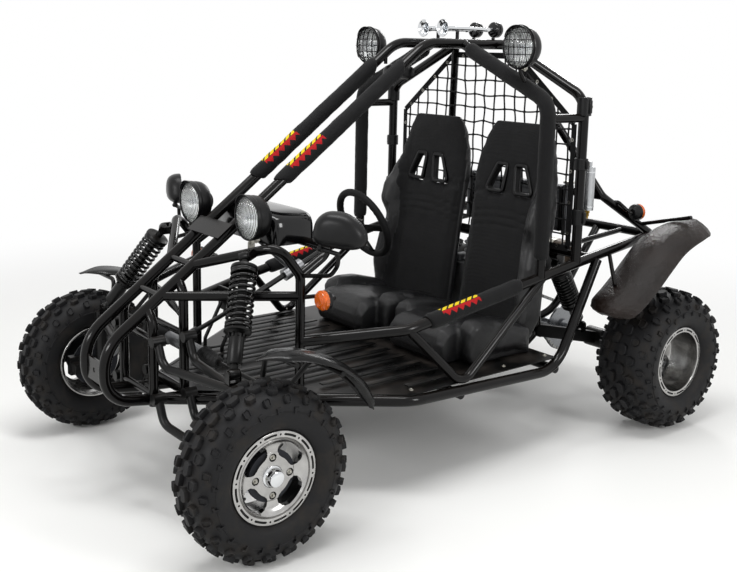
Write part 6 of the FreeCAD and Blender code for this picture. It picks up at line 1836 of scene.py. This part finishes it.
def floor_finish():
    """Seamless studio paper: a matt white sheet that fades into the white wall."""
    material, tree, shader, place = started("studio_paper", "#f1f1ef", 0.7)
    reach = add(tree, "VectorMath", {0: place}, operation="LENGTH").outputs["Value"]
    fade = add(tree, "MapRange", {"Value": reach, "From Min": 1.7, "From Max": 4.5},
               interpolation_type="SMOOTHSTEP")
    factor = add(tree, "Math", {0: fade, 1: seen_directly(tree)}, operation="MULTIPLY")
    fine = add(tree, "TexNoise", {"Vector": place, "Scale": per(4), "Detail": 2.0})
    add(tree, "Bump", {"Height": fine, "Distance": 0.02 * MM}, shader.inputs["Normal"])
    glow = add(tree, "Emission", {"Color": (1, 1, 1, 1), "Strength": 1.0})
    out = next(n for n in tree.nodes if n.type == "OUTPUT_MATERIAL")
    add(tree, "MixShader", {0: factor, 1: shader, 2: glow}, out.inputs[0])
    return material


class BUGGY_OT_finishes(bpy.types.Operator):
    """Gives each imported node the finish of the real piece"""
    bl_idname = "buggy.finishes"
    bl_label = "Finishes"

    def execute(self, context):
        for skin, names in CARRIED.items():
            for name in names:
                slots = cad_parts[name].material_slots
                if not slots:
                    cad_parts[name].data.materials.append(finish(skin))
                for slot in slots:
                    slot.material = finish(skin)
        return {"FINISHED"}


# sizes and panel

def length(name, words, default):
    """Length property, its default in millimetres."""
    return bpy.props.FloatProperty(name=name, description=words, default=default * MM, unit="LENGTH",
                                   subtype="DISTANCE")


class BuggySizes(bpy.types.PropertyGroup):
    """Sizes that a user may change"""
    lug_height: length("Lug height", "Height of the tread blocks", 15.0)
    front_pitches: bpy.props.IntProperty(name="Front pitches", description="Tread blocks round a front tyre",
                                         default=22, min=8, max=40)
    rear_pitches: bpy.props.IntProperty(name="Rear pitches", description="Tread blocks round a rear tyre",
                                        default=22, min=8, max=40)
    lamp_level: bpy.props.FloatProperty(name="Lamp level", description="Share of the studio lamps' power",
                                        default=1.0, min=0.0, subtype="FACTOR")
    world_level: bpy.props.FloatProperty(name="World level", description="Strength of the white surroundings",
                                         default=0.55, min=0.0)


class BUGGY_PT_panel(bpy.types.Panel):
    """Lists the sizes and the pieces"""
    bl_idname = "BUGGY_PT_panel"
    bl_label = "Dune buggy"
    bl_space_type = "VIEW_3D"
    bl_region_type = "UI"
    bl_category = "Buggy"

    def draw(self, context):
        sizes = context.scene.buggy_sizes
        for name in BuggySizes.__annotations__:
            self.layout.prop(sizes, name)
        for operator in OPERATORS:
            self.layout.operator(operator.bl_idname)


OPERATORS = (BUGGY_OT_stage, BUGGY_OT_finishes, BUGGY_OT_tyres, BUGGY_OT_rims, BUGGY_OT_seats,
             BUGGY_OT_sleeves, BUGGY_OT_net, BUGGY_OT_dampers, BUGGY_OT_lamps, BUGGY_OT_horns,
             BUGGY_OT_mirrors, BUGGY_OT_steering_wheel, BUGGY_OT_fenders, BUGGY_OT_cowl, BUGGY_OT_floor_ribs,
             BUGGY_OT_clamps, BUGGY_OT_brakes, BUGGY_OT_drive)


def register():
    """Registers the classes and the scene's property groups."""
    for kind in (BuggySizes, *OPERATORS, BUGGY_PT_panel):
        bpy.utils.register_class(kind)
    bpy.types.Scene.buggy_sizes = bpy.props.PointerProperty(type=BuggySizes)


def unregister():
    """Removes them again."""
    del bpy.types.Scene.buggy_sizes
    for kind in (BUGGY_PT_panel, *OPERATORS[::-1], BuggySizes):
        bpy.utils.unregister_class(kind)


def main():
    """Builds the pieces."""
    register()
    for operator in OPERATORS:
        group, name = operator.bl_idname.split(".")
        getattr(getattr(bpy.ops, group), name)()


if __name__ == "__main__":
    main()
